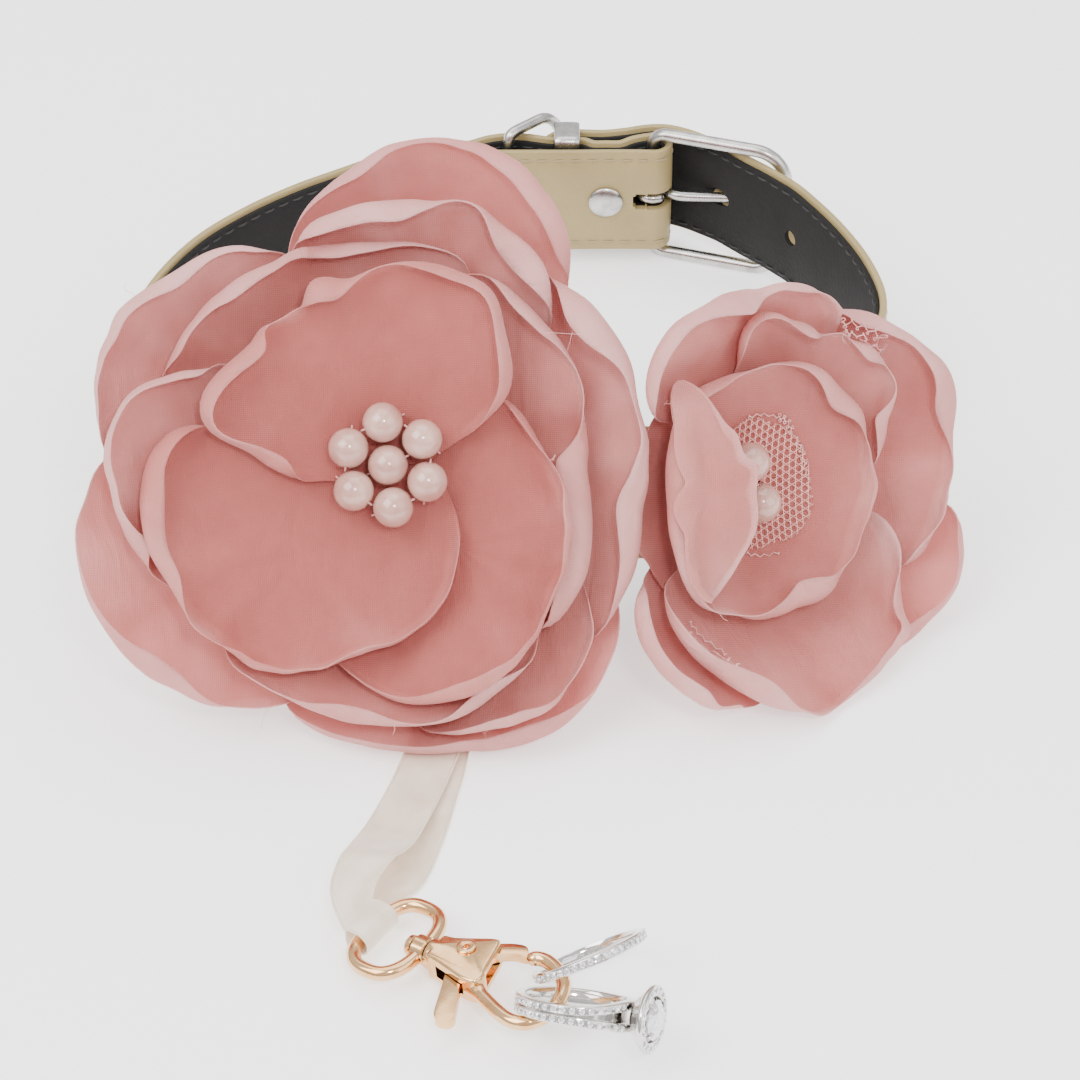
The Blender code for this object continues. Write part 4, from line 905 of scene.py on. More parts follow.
def petal(fl, name, k, geo, pts, polys, seed, mat, curve=None, curl=(100, 60), rho=2.4, flapw=1.2, ruf=1.5,
          cad=None, keep=13.0, light=0.0, shape=None, sewn=False):
    rng = np.random.default_rng(seed)
    cu, cv, a, b_, turn = geo
    curve = fl.curve if curve is None else curve
    th, R = outline_radii(cu, cv, a, b_, turn, pts)
    R = R * (1 + 0.018 * wobble(rng, th, 5, 11) + 0.006 * wobble(rng, th, 14, 26))
    eu, ev = cu + R * np.cos(th), cv + R * np.sin(th)
    # the rim curls where it is not under another petal and not at the sewn middle
    vis = np.ones(NT)
    for poly in polys:
        vis[inside(poly, cu + (R - 1.5) * np.cos(th), cv + (R - 1.5) * np.sin(th))] = 0.0
    far = np.hypot(eu, ev)
    vis *= np.clip((far - keep) / 5, 0, 1)
    if sewn:
        vis *= np.clip((np.cos(th) + 0.30) / 0.4, 0, 1)
    vis = np.clip(blur_ring(vis, 8), 0, 1)
    phi = np.radians(np.clip(curl[0] + curl[1] * wobble(rng, th, 1, 6, 0.6), 12, 168)) * vis + math.radians(7)
    rr = np.clip(rho * (1 + 0.45 * wobble(rng, th, 2, 7, 0.5)), 0.8, 4.6)
    flen_ = np.clip(flapw * (1 + 0.9 * wobble(rng, th, 2, 6, 0.5)), 0.0, 4.0) * vis
    g0 = np.arctan(2 * curve * far) * 0.8
    reach = rr * (np.sin(np.minimum(phi + g0, math.pi / 2)) - np.sin(g0))
    Rf = R - reach
    s_rows = np.concatenate([np.linspace(0.0, 0.86, 15)[1:], np.linspace(0.90, 1.0, 4)])
    NF, NC = len(s_rows), 9
    rows = []
    base = shape or (lambda u, v: -PITCH * k + curve * (u * u + v * v))
    rA = wobble(rng, th, 2, 5, 0.3)
    rB = wobble(rng, th, 6, 13, 0.3)
    amp = ruf * (0.35 + 0.65 * vis)
    for s in s_rows:
        r = Rf * s
        u, v = cu + r * np.cos(th), cv + r * np.sin(th)
        dd = np.hypot(u, v)
        near = np.clip((dd - 9) / 16, 0, 1)
        w = base(u, v) + near * (amp * rA * s ** 2.2 + 0.42 * amp * rB * s ** 1.2)
        rows.append(np.stack([u, v, w], 1))
    flat = np.array(rows)
    # slope at the rim, for the direction of the curl
    slope = (flat[-1, :, 2] - flat[-3, :, 2]) / np.maximum(Rf * (s_rows[-1] - s_rows[-3]), 0.3)
    g = np.arctan(blur_ring(slope, 3))
    cr = []
    for i in range(1, NC + 1):
        al = phi * i / NC
        o = rr * np.sin(al)
        h = rr * (1 - np.cos(al))
        cr.append((o, h))
    o, h = cr[-1]
    for e in (0.5, 1.0):
        cr.append((o + flen_ * e * np.cos(phi), h + flen_ * e * np.sin(phi) * 0.85))
    for o, h in cr:
        r = Rf + o * np.cos(g) - h * np.sin(g)
        w = flat[-1, :, 2] + o * np.sin(g) + h * np.cos(g)
        rows.append(np.stack([cu + r * np.cos(th), cv + r * np.sin(th), w], 1))
    G = np.array(rows)
    # drape: nothing lies lower than what is already there
    need = np.maximum(0, fl.top(G[:, :, 0], G[:, :, 1]) + 0.42 - G[:, :, 2])
    for i in range(NF, len(G)):
        need[NF - 1] = np.maximum(need[NF - 1], need[i])
    need[NF:] = need[NF - 1]
    L = need.copy()
    for _ in range(26):
        B = (np.roll(L, 1, 1) + np.roll(L, -1, 1) + 2 * L) / 4
        C = B.copy()
        C[1:-1] = (B[:-2] + B[2:] + 2 * B[1:-1]) / 4
        L = np.maximum(need, C)
        L[NF:] = L[NF - 1]
    G[:, :, 2] += L
    fl.lay(G)
    # mesh
    mid = G[0].mean(0)
    V = np.vstack([mid[None], G.reshape(-1, 3)])
    n_rows = len(G)
    F = [(0, 1 + j, 1 + (j + 1) % NT) for j in range(NT)]
    for i in range(n_rows - 1):
        for j in range(NT):
            q = 1 + i * NT
            F.append((q + j, q + NT + j, q + NT + (j + 1) % NT, q + (j + 1) % NT))
    # tone: painted highlight on the curled rim and on ruffle crests, painted shade in the ruffle valleys; lighter
    # towards the edge, darker towards the flower's middle
    tone = np.zeros((n_rows, NT))
    hgt = flat[:, :, 2] - base(flat[:, :, 0], flat[:, :, 1])
    # ruffle crests lighter and valleys darker: painted highlight and painted shade
    tone[:NF] = 0.36 + 0.10 * hgt / max(ruf, 0.5) + 0.10 * s_rows[:, None] ** 2
    dmid = np.hypot(flat[:, :, 0], flat[:, :, 1])
    tone[:NF] -= 0.16 * np.clip(1 - dmid / 22, 0, 1)
    # painted highlight on the curled rim rows, growing towards the roll's outer edge
    for i in range(NF, n_rows):
        e = (i - NF + 1) / (n_rows - NF)
        tone[i] = tone[NF - 1] + (0.34 * vis) * e ** 0.7
    tone = np.clip(tone + light, 0, 1)
    tn = np.concatenate([[tone[0].mean()], tone.ravel()])
    dist = np.concatenate([[0 * th], np.cumsum(np.linalg.norm(np.diff(G, axis=0), axis=2), axis=0)]) + Rf * s_rows[0]
    uvx, uvy = dist * np.cos(th), dist * np.sin(th)
    UV = np.vstack([[[0, 0]], np.stack([uvx.ravel(), uvy.ravel()], 1)])
    area = 0.0
    Wd = fl.world(V)
    Vn = Wd
    quads = np.array([q for q in F if len(q) == 4])
    area = 0.5 * np.linalg.norm(np.cross(Vn[quads[:, 2]] - Vn[quads[:, 0]], Vn[quads[:, 3]] - Vn[quads[:, 1]]), axis=1).sum()
    ob = make(name, P(Wd), F, mat, "collar", uv=UV, tone=tn, replaces=cad)
    solidify(ob, 0.22, 0.0)
    asp = a / b_
    wdt = math.sqrt(area / 0.785 * asp)
    lng = area / 0.785 / wdt
    SHEETS.append((ob, wdt * MM, lng * MM, area * 1e-6))
    return np.stack([cu + R * np.cos(th), cv + R * np.sin(th)], 1), G


SHEETS = []
BIG_P = [
    ("inner_top", -6.0, 18.2, 28.0, 19.5, 14, [(-33.5, 14), (-25.5, 20.5), (-15.5, 27), (-4.5, 34), (5, 36), (15, 34), (21, 30.5), (22, 23.5), (22, 12), (17, 6.5), (10, 2.5), (-10, -2.5), (-14.5, -2), (-21.5, 0.5), (-26.5, 4.5), (-33, 7.5)]),
    ("inner_left", -15.5, -14.8, 28.0, 23.0, 0, [(-41.5, 4.5), (-44.5, -4.5), (-43.5, -13), (-39, -22), (-32, -30), (-24, -36), (-18, -37), (-11, -35.5), (-5.5, -33.5), (0.5, -32), (7.5, -28), (10.5, -20.5), (12, -11), (10, -5)]),
    ("inner_right", 12.2, -15.5, 21.0, 28.0, 0, [(22, 12), (27, 2), (32, -6.5), (32.5, -15), (28, -25), (24, -34.5), (17.5, -40), (7.5, -43.5), (-1.5, -42), (-7.5, -38), (-10.5, -35)]),
    ("second_left", -26.5, -1.8, 25.0, 21.0, 0, [(-33.5, 18), (-47, 13.5), (-50, 7), (-51, 4), (-50, -2), (-46.5, -11.5), (-41.5, -20)]),
    ("second_lower", -1.5, -24.5, 30.0, 22.5, 0, [(-30, -34), (-24, -38.5), (-15.5, -43.5), (-4.5, -46.5), (4.5, -47.5), (15, -44), (24, -37)]),
    ("right_inner", 15.0, 4.5, 21.5, 30.0, 0, [(21, 33), (27, 27.5), (32, 22), (34.5, 16.5), (36, 8), (35.5, -3.5), (36.5, -12), (35, -22), (31, -30)]),
    ("third_top_left", -14.0, 17.2, 27.0, 22.0, 20, [(-40.5, 16.5), (-35.5, 25.5), (-28, 33), (-20, 37.5), (-12, 39.5), (-3, 40.5), (7.5, 39), (14.5, 38.5)]),
    ("second_top", 7.6, 26.0, 23.5, 22.0, 0, [(-13.5, 43.5), (-8, 46), (-0.5, 47.5), (9.5, 47.5), (17, 46.5), (22.5, 43), (27.5, 38), (30.5, 32)]),
    ("lower_right", 16.7, -28.0, 20.0, 20.0, 0, [(4.5, -48), (15, -49), (23, -47.5), (30, -43.5), (32.5, -38.5), (35.5, -33)]),
    ("right_outer", 20.3, 1.0, 27.0, 32.0, 0, [(30.5, 33), (38, 29), (43, 21.5), (46.0, 10.5), (47.2, -1), (46.2, -11.5), (44.0, -21), (40, -29), (34, -34)]),
    ("outer_top_left", -27.8, 13.6, 25.5, 25.0, 0, [(-51.5, 6.5), (-52, 12.5), (-52.5, 19.5), (-49, 26), (-45, 32), (-39, 35.5), (-33, 38.5), (-27.5, 41), (-22.5, 40), (-17, 39)]),
    ("outer_lower_left", -29.5, -17.0, 27.0, 26.5, 0, [(-52, 2), (-55, -4), (-56.5, -10), (-56.5, -17), (-54, -24.5), (-49, -32.5), (-42.5, -38), (-36, -41.5), (-28.5, -43), (-21.5, -43)]),
    ("back_top", 8.0, 36.0, 25.0, 23.0, 0, [(-17, 41), (-12, 48), (-4, 54.5), (3.5, 58), (14.5, 59), (22.5, 55.5), (29.5, 50), (34, 42.5), (35, 38), (34, 33)]),
    ("outer_bottom", 11.0, -26.3, 29.5, 26.0, 0, [(-18.5, -45.5), (-11.5, -49.5), (-3.5, -52), (4.5, -52.6), (12, -52.3), (19.5, -52.6), (26.5, -50.6), (33, -46.5), (38, -40.5), (40.5, -33), (40.5, -25.5)]),
]
SMALL_P = [
    ("centre", 2.0, -1.0, 20.0, 23.0, 0, [(-21, 13.5), (-13, 18), (-4, 21), (5, 23), (13, 20.5), (19.5, 15.5), (22.5, 10), (23.5, 4.5), (23, -3.5), (20.5, -11.5), (16.5, -18), (9, -22.5), (0, -24.5), (-10.5, -24.5), (-19, -23), (-22, -14), (-21.5, 0.5)]),
    ("folded_left", -14.5, -1.5, 9.0, 21.0, 0, [(-20.5, 20.5), (-17.5, 16.5), (-13.5, 10.5), (-9.6, 4.5), (-6.8, -2.5), (-6.4, -8.5), (-8.8, -14.5), (-13.5, -19.5), (-18.5, -22.0), (-22.0, -19.5), (-21.0, -10), (-20.5, 0), (-22.0, 11), (-22.6, 17)]),
    ("upper_right", 12.5, 15.5, 19.0, 18.0, 0, [(-4, 32.5), (3, 29.5), (11, 28), (18, 27), (24, 24), (27, 19), (27, 13), (26.5, 6.5)]),
    ("top", -3.0, 22.0, 20.0, 14.5, 0, [(-27.5, 17), (-28.5, 23), (-25.0, 28), (-19, 31.5), (-12, 34.5), (-4, 36.0), (3, 37.0), (8.5, 36.2), (12, 33.5)]),
    ("bottom", 7.0, -22.0, 22.5, 18.5, 0, [(28, -9), (29.5, -14.5), (28.5, -22), (27, -29), (22, -34), (15, -39.5), (8.5, -42.5), (2.5, -42), (-7, -40.5), (-14, -36), (-19, -31.5), (-22.5, -26)]),
    ("lower_left", -15.0, -3.0, 10.3, 19.0, 0, [(-24.5, 6), (-25.5, -3), (-24.5, -12)]),
    ("outer_right", 20.0, 6.0, 19.0, 22.5, 0, [(16, 33), (21.5, 32.5), (28, 29.5), (34.5, 25), (39, 21), (40.8, 17), (40.8, 12), (40.8, 6.5), (40.4, 0), (39, -5.5), (36, -11.5), (31.5, -16)]),
    ("outer_lower_right", 20.5, -13.5, 18.0, 17.5, 0, [(40, -2.5), (42.3, -7), (42.8, -12), (41.0, -18), (37.3, -23.5), (33, -28), (28.5, -31)]),
    ("outer_lower_left", -9.0, -27.0, 19.0, 15.0, 0, [(-27.5, -27.0), (-26.5, -33.5), (-23, -38.0), (-17.5, -40.5), (-10, -41.5), (-5.5, -41.5), (-2.5, -41)]),
]
# curl (mean, swing) in degrees, roll radius, flap, ruffle, material
BIG_LOOK = {
    "inner_top": ((110, 60), 2.3, 2.2, 1.3, M_PETAL), "inner_left": ((100, 70), 2.4, 1.8, 1.4, M_PETAL),
    "inner_right": ((96, 60), 2.3, 1.4, 1.5, M_PETAL), "second_left": ((120, 50), 2.2, 2.2, 1.4, M_PETAL_LIGHT),
    "second_lower": ((104, 56), 2.2, 1.6, 1.4, M_PETAL), "right_inner": ((112, 56), 2.6, 2.0, 1.6, M_PETAL),
    "third_top_left": ((108, 50), 2.2, 1.8, 1.3, M_PETAL), "second_top": ((118, 46), 2.4, 2.0, 1.3, M_PETAL_LIGHT),
    "lower_right": ((100, 60), 2.2, 1.4, 1.4, M_PETAL), "right_outer": ((116, 52), 2.8, 2.2, 1.7, M_PETAL),
    "outer_top_left": ((112, 52), 2.2, 1.8, 1.7, M_PETAL_LIGHT), "outer_lower_left": ((84, 60), 2.0, 1.2, 1.8, M_SHEER),
    "back_top": ((112, 40), 2.0, 1.0, 1.3, M_SHEER), "outer_bottom": ((86, 56), 2.0, 1.2, 1.5, M_SHEER),
}
SMALL_LOOK = {
    "centre": ((104, 60), 2.1, 1.6, 1.2, M_PETAL), "folded_left": ((118, 44), 2.0, 1.8, 0.8, M_PETAL),
    "upper_right": ((108, 54), 2.0, 1.6, 1.2, M_PETAL), "top": ((112, 50), 2.1, 1.8, 1.2, M_PETAL_LIGHT),
    "bottom": ((96, 60), 2.1, 1.4, 1.3, M_PETAL), "lower_left": ((30, 20), 1.2, 0.4, 0.4, M_PETAL),
    "outer_right": ((114, 50), 2.4, 2.0, 1.5, M_PETAL), "outer_lower_right": ((90, 50), 2.0, 1.4, 1.3, M_SHEER),
    "outer_lower_left": ((96, 50), 2.0, 1.4, 1.2, M_PETAL_LIGHT),
}


def rim_poly(row):
    _, cu, cv, a, b_, turn, pts = row
    th, R = outline_radii(cu, cv, a, b_, turn, pts)
    return np.stack([cu + R * np.cos(th), cv + R * np.sin(th)], 1)


EDGES = {"large": [], "small": []}
big_polys = [rim_poly(r) for r in BIG_P]
for k in range(len(BIG_P) - 1, -1, -1):
    nm, cu, cv, a, b_, turn, pts = BIG_P[k]
    cl, rho, fw, ruf, mat = BIG_LOOK[nm]
    _, G = petal(BIG, f"large_petal_{nm}_cloth", k, (cu, cv, a, b_, turn), pts, big_polys[:k], 100 + k, mat,
                 curve=0.0062 if nm == "outer_bottom" else None, curl=cl, rho=rho, flapw=fw, ruf=ruf,
                 cad=(f"large_petal_{nm}",), light=-0.20 if k < 3 else (0.04 if k < 9 else 0.15))
    EDGES["large"].append((nm, G))

PEARL_R = 3.7
small_pearls = []
for i, (u, v) in enumerate(((-3.2, 3.9), (-0.5, -3.6), (-8.1, -2.4))):
    small_pearls.append((u, v, 1.05 + PEARL_R + 0.0098 * (u * u + v * v) + (0.45 if i == 2 else 0.12)))
order = [8, 7, 6, 5, 4, 3, 2, 0]
small_polys = {i: rim_poly(r) for i, r in enumerate(SMALL_P)}
for k in order:
    nm, cu, cv, a, b_, turn, pts = SMALL_P[k]
    cl, rho, fw, ruf, mat = SMALL_LOOK[nm]
    front = [small_polys[j] for j in order if j < k] + ([small_polys[1]] if k > 1 else [])
    _, G = petal(SMALL, f"small_petal_{nm}_cloth", k, (cu, cv, a, b_, turn), pts, front, 300 + k, mat,
                 curve=0.0072 if nm == "lower_left" else None, curl=cl, rho=rho, flapw=fw, ruf=ruf,
                 cad=(f"small_petal_{nm}",), keep=9.0, light=-0.04 if k == 0 else 0.08)
    EDGES["small"].append((nm, G))
# net circle on the middle petal
th = np.linspace(0, 2 * np.pi, 60, endpoint=False)
rows = []
rng = np.random.default_rng(8)
for s in np.linspace(0.08, 1.0, 12):
    R = 12.0 * (1 + 0.06 * wobble(np.random.default_rng(5), th, 3, 9))
    u, v = 1.5 + R * s * np.cos(th), R * s * np.sin(th)
    rows.append(np.stack([u, v, np.maximum(SMALL.top(u, v) + 0.3, 0.7 + 0.0098 * (u * u + v * v))], 1))
G = np.array(rows)
for _ in range(6):
    G[:, :, 2] = np.maximum(G[:, :, 2], (np.roll(G[:, :, 2], 1, 1) + np.roll(G[:, :, 2], -1, 1)) / 2)
V = G.reshape(-1, 3)
F = [(i * 60 + j, (i + 1) * 60 + j, (i + 1) * 60 + (j + 1) % 60, i * 60 + (j + 1) % 60) for i in range(11) for j in range(60)]
F.append(tuple(range(60))[::-1])
net = make("small_net_cloth", P(SMALL.world(V)), F, M_NET, "collar", uv=V[:, :2], replaces=("small_net_circle",))
solidify(net, 0.12)
SHEETS.append((net, 0.0242, 0.0242, math.pi * 0.0121 ** 2 * 0.98))
# third pearl lifts the folded petal
gu, gv = np.meshgrid(np.linspace(-4, 4, 40), np.linspace(-4, 4, 40))
rr2 = gu ** 2 + gv ** 2
ok = rr2 < PEARL_R ** 2
u3, v3, w3 = small_pearls[2]
i, j = SMALL.cell(u3 + gu[ok], v3 + gv[ok])
np.maximum.at(SMALL.h, (i, j), w3 + np.sqrt(PEARL_R ** 2 - rr2[ok]))
nm, cu, cv, a, b_, turn, pts = SMALL_P[1]
cl, rho, fw, ruf, mat = SMALL_LOOK[nm]


def folded(u, v):
    """The petal that folds over the middle: low at its outer side, arched up over the pearls."""
    t_ = np.clip((u + 23.5) / 12.5, 0, 1)
    return 3.0 + 7.3 * np.sin(t_ * math.pi / 2) * np.clip(1 - ((v - 0.5) / 25.0) ** 2, 0, 1)


_, G = petal(SMALL, "small_petal_folded_left_cloth", 0.4, (cu, cv, a, b_, turn), pts, [], 331, mat, curl=(46, 26), rho=1.5,
             flapw=0.7, ruf=0.7, cad=("small_petal_folded_left",), keep=2.0, shape=folded, light=0.14, sewn=True)
EDGES["small"].append((nm, G))

# bits of lace: the net's worked edge and two motifs that show between the petals
lace = []


def lace_run(pts, amp, turns, r=0.11):
    c = catmull(pts, 26)
    tn = unit(np.gradient(c, axis=0))
    nn = np.stack([-tn[:, 1], tn[:, 0]], 1)
    ph = np.linspace(0, turns * 2 * math.pi, len(c))
    q = c + nn * (amp * np.sin(ph))[:, None] + tn * (amp * 0.7 * np.sin(2 * ph))[:, None]
    w_ = SMALL.top(q[:, 0], q[:, 1]) + 0.28
    w_ = np.convolve(np.pad(w_, 3, mode="edge"), np.ones(7) / 7, mode="valid")
    lace.append(tube(SMALL.world(np.column_stack([q, w_])), r, 5))


for pts_, amp, turns in (([(5.2, 12.6), (7.2, 11.8), (8.6, 9.8)], 0.7, 4), ([(9.4, 8.8), (10.6, 7.0), (11.4, 5.0), (11.8, 2.8)], 0.5, 4),
                         ([(11.8, 2.8), (12.6, 0.8), (12.4, -1.6)], 0.35, 3), ([(-1.5, 12.4), (1.6, 13.0), (5.2, 12.6)], 0.3, 4),
                         ([(-2.0, -13.0), (1.5, -13.4), (5.5, -12.8)], 0.35, 4),
                         ([(14.0, 30.2), (18.0, 29.6), (22.5, 27.6), (26.0, 25.0)], 0.9, 6), ([(15.0, 28.4), (19.0, 27.6), (23.0, 25.4)], 0.6, 5),
                         ([(-18.5, -27.5), (-16.0, -30.5), (-12.0, -33.0)], 0.6, 5), ([(-17.0, -25.5), (-14.5, -28.5), (-9.5, -31.5)], 0.45, 5)):
    lace_run(pts_, amp, turns)
v, f = join(lace)
make("small_lace_edging", P(v), f, M_PINK_THREAD, "collar")

# pearls with drilled ends
def pearl(name, fl, u, v, w, direction, cad):
    prof = []
    for i in range(0, 25):
        a = math.pi * i / 24
        r, h = PEARL_R * math.sin(a), PEARL_R * math.cos(a)
        if i == 0:
            prof += [(0.0, PEARL_R - 1.0), (0.38, PEARL_R - 0.9), (0.42, PEARL_R - 0.12)]
        elif i == 24:
            prof += [(0.42, -PEARL_R + 0.12), (0.38, -PEARL_R + 0.9), (0.0, -PEARL_R + 1.0)]
        elif r > 0.5:
            prof.append((r, h))
    c = fl.world([u, v, w])
    ax = fl.u * math.cos(direction) + fl.v * math.sin(direction) + fl.w * 0.22
    vv, ff = revolve(prof, 36, c, ax, fl.w)
    ff = [q[::-1] for q in ff]
    return make(name, P(vv), ff, M_PEARL, "collar", sharp=55, replaces=cad), c, unit(ax)


thread_parts = []
BR = 7.75
wb = 0.35 + PEARL_R
_, c0, ax0 = pearl("large_pearl_middle_coated", BIG, 0, 0, wb, 0.4, ("large_pearl_middle",))
cents = []
for i in range(6):
    a = math.radians(95 - 60 * i)
    w_ = wb + 0.0053 * BR ** 2 + 0.25
    _, c, ax = pearl(f"large_pearl_{i + 1}_coated", BIG, BR * math.cos(a), BR * math.sin(a), w_, a + math.pi / 2 + 0.25, (f"large_pearl_{i + 1}",))
    cents.append((c, ax))
for c, ax in cents + [(c0, ax0)]:
    for s in (-1, 1):
        q = [c + ax * s * (PEARL_R - 0.7), c + ax * s * (PEARL_R + 0.1), c + ax * s * (PEARL_R + 0.5) - BIG.w * 0.9,
             c + ax * s * (PEARL_R + 0.3) - BIG.w * 2.6, c + ax * s * (PEARL_R - 0.2) - BIG.w * 4.4]
        thread_parts.append(tube(catmull(q, 3), 0.17, 7))
for i, (u, v, w_) in enumerate(small_pearls):
    _, c, ax = pearl(f"small_pearl_{i + 1}_coated", SMALL, u, v, w_, 0.9 + i * 1.1, (f"small_pearl_{i + 1}",))
    for s in (-1, 1):
        q = [c + ax * s * (PEARL_R - 0.7), c + ax * s * (PEARL_R + 0.1), c + ax * s * (PEARL_R + 0.45) - SMALL.w * 0.9,
             c + ax * s * (PEARL_R + 0.2) - SMALL.w * 2.6, c + ax * s * (PEARL_R - 0.3) - SMALL.w * 4.2]
        thread_parts.append(tube(catmull(q, 3), 0.17, 7))
v, f = join(thread_parts)
make("pearl_threads", P(v), f, M_PINK_THREAD, "collar")

# frayed threads at the petals' rims
fray = []
rng = np.random.default_rng(77)
for fl, key, count in ((BIG, "large", 20), (SMALL, "small", 10)):
    for _ in range(count):
        nm, G = EDGES[key][rng.integers(0, len(EDGES[key]))]
        j = int(rng.integers(0, NT))
        pe, pi_ = G[-1, j], G[-3, j]
        if np.hypot(pe[0], pe[1]) < 26:
            continue
        d = unit(np.array([pe[0], pe[1], 0.0]) * 0.02 + rng.normal(0, 0.6, 3) + (0, 0, 0.5))
        Lh = rng.uniform(1.5, 4.5)
        bend, twist = rng.normal(0, 0.55, 3), rng.normal(0, 0.5, 3)
        q = [pe, pe + d * Lh * 0.3 + twist * 0.3, pe + d * Lh * 0.55 + bend * 0.7, pe + d * Lh * 0.75 + bend * 1.7 + twist * 0.5,
             pe + d * Lh * 0.8 + bend * 2.6 - twist * 0.6]
        fray.append(tube(fl.world(catmull(q, 4)), 0.045, 5))
v, f = join(fray)
make("petal_loose_threads", P(v), f, M_PINK_THREAD, "collar")

for tag, fl, top, r in (("large", BIG, -17.9, 17.0), ("small", SMALL, -11.6, 15.0)):
    prof = [(0.0, 0.0), (r - 0.3, 0.0), (r, 0.25), (r, 0.95), (r - 0.3, 1.2), (0.0, 1.2)]
    c = fl.world([0, 0, top - 1.2])
    v, f = revolve(prof, 48, c, fl.w, fl.u)
    make(f"{tag}_felt_disc", P(v), f, M_FELT, "collar", sharp=40, replaces=(f"{tag}_felt_back",))

# ------------------------------------------------------------------ snap hook
O = np.array([-18.46, -110.82, 4.61])
hd, lf = math.radians(-34.6), math.radians(6.6)
h = np.array([math.cos(hd) * math.cos(lf), math.sin(hd) * math.cos(lf), math.sin(lf)])
wv_ = np.array([-math.sin(hd), math.cos(hd), 0])
n = np.cross(h, wv_)
L3 = lambda a, b_, c=0.0: O + h * a + wv_ * b_ + n * c


def as_object(name, v, f, mat):
    me = bpy.data.meshes.new(name)
    me.from_pydata([tuple(q) for q in P(v)], [], f)
    bm = bmesh.new()
    bm.from_mesh(me)
    bmesh.ops.recalc_face_normals(bm, faces=bm.faces)
    bm.to_mesh(me)
    bm.free()
    ob = bpy.data.objects.new(name, me)
    COL.objects.link(ob)
    me.materials.append(mat)
    return ob


def bool_with(ob, other, op):
    md = ob.modifiers.new("B", "BOOLEAN")
    md.operation = op
    md.solver = "MANIFOLD"
    md.object = other


eye_pts = []
for k in range(72):
    a = 2 * math.pi * k / 72
    c, s = math.cos(a), math.sin(a)
    eye_pts.append(L3(-7.4 + 5.6 * math.copysign(abs(c) ** (2 / 2.6), c), 8.7 * math.copysign(abs(s) ** (2 / 2.6), s)))
v, f = tube(np.array(eye_pts), 1.3, 18, closed=True)
eye = as_object("swivel_eye_polished", v, f, M_GOLD)
boss = as_object("b1", *revolve([(0.0, -3.2), (2.2, -3.2), (2.5, -2.9), (2.5, -0.8), (2.2, -0.5), (0.0, -0.5)], 40, O, h, wv_), M_GOLD)
bore = as_object("b2", *revolve([(0.0, -4.5), (1.35, -4.5), (1.35, 0.5), (0.0, 0.5)], 40, O, h, wv_), M_GOLD)
bool_with(eye, boss, "UNION")
bool_with(eye, bore, "DIFFERENCE")
bake_mods(eye)
remove(boss, bore)
finish_piece(eye, "eye", ("swivel_eye",), 32)
v, f = revolve([(0.0, -4.9), (1.4, -4.9), (1.85, -4.5), (1.9, -3.9), (1.7, -3.65), (1.05, -3.55), (1.05, 2.0), (0.0, 2.1)], 40, O, h, wv_)
post = as_object("swivel_post_polished", v, f, M_GOLD)
finish_piece(post, "hook", ("swivel_post",), 35)

PIV = (6.3, 2.0)
FORK = catmull([(1.0, -2.7), (1.0, 0.0), (1.0, 2.7), (3.0, 3.3), (6.2, 4.9), (9.3, 6.4), (10.5, 6.0), (11.4, 2.6), (12.1, -0.6), (12.7, -2.0),
                (12.2, -4.1), (9.5, -4.4), (6.5, -3.8), (3.0, -3.1)], 3, closed=True)
body = plate([tuple(q) for q in FORK], 2.7, O, h, wv_, 0, "snap_hook_polished", M_GOLD)
bm = bmesh.new()
bm.from_mesh(body.data)
bmesh.ops.recalc_face_normals(bm, faces=bm.faces)
bm.to_mesh(body.data)
bm.free()
md = body.modifiers.new("Bevel", "BEVEL")
md.width = 0.7 * MM
md.segments = 4
md.limit_method = "ANGLE"
md.angle_limit = math.radians(50)
bake_mods(body)
BEND = [(10.2, -2.6), (12.5, -3.6), (14.5, -4.5), (18.5, -6.0), (21.6, -6.5), (24.2, -5.3), (25.6, -2.4), (25.6, 1.2), (24.3, 4.5),
        (21.6, 6.9), (18.8, 8.0), (16.9, 7.95), (15.9, 7.3)]
bp = np.array([L3(a, b_) for a, b_ in catmull(BEND, 6)])
rb = np.full(len(bp), 1.3)
rb[:10] = np.linspace(1.9, 1.3, 10)
v, f = tube(bp[:-2], rb[:-2], 20)
bend = as_object("b3", v, f, M_GOLD)
neck = as_object("b4", *revolve([(0.0, -0.2), (2.4, -0.2), (2.85, 0.15), (2.9, 0.6), (2.9, 2.2), (2.6, 2.9), (1.8, 3.3), (0.0, 3.3)], 44, O, h, wv_), M_GOLD)
slot = plate([(3.1, -1.4), (3.5, -6.0), (9.8, -6.0), (9.8, -1.1), (14.5, -0.9), (14.5, 9.0), (3.1, 9.0)], 1.25, O, h, wv_, 0, "b5", M_GOLD)
hole = as_object("b6", *revolve([(0.0, -4.0), (1.15, -4.0), (1.15, 4.0), (0.0, 4.0)], 32, L3(*PIV), n, h), M_GOLD)
bore = as_object("b7", *revolve([(0.0, -1.5), (1.4, -1.5), (1.4, 2.5), (0.0, 2.5)], 32, O, h, wv_), M_GOLD)
bool_with(body, neck, "UNION")
bool_with(body, bend, "UNION")
bool_with(body, slot, "DIFFERENCE")
bool_with(body, hole, "DIFFERENCE")
bool_with(body, bore, "DIFFERENCE")
bake_mods(body)
remove(bend, neck, slot, hole, bore)
finish_piece(body, "hook", ("snap_hook_body",), 32)

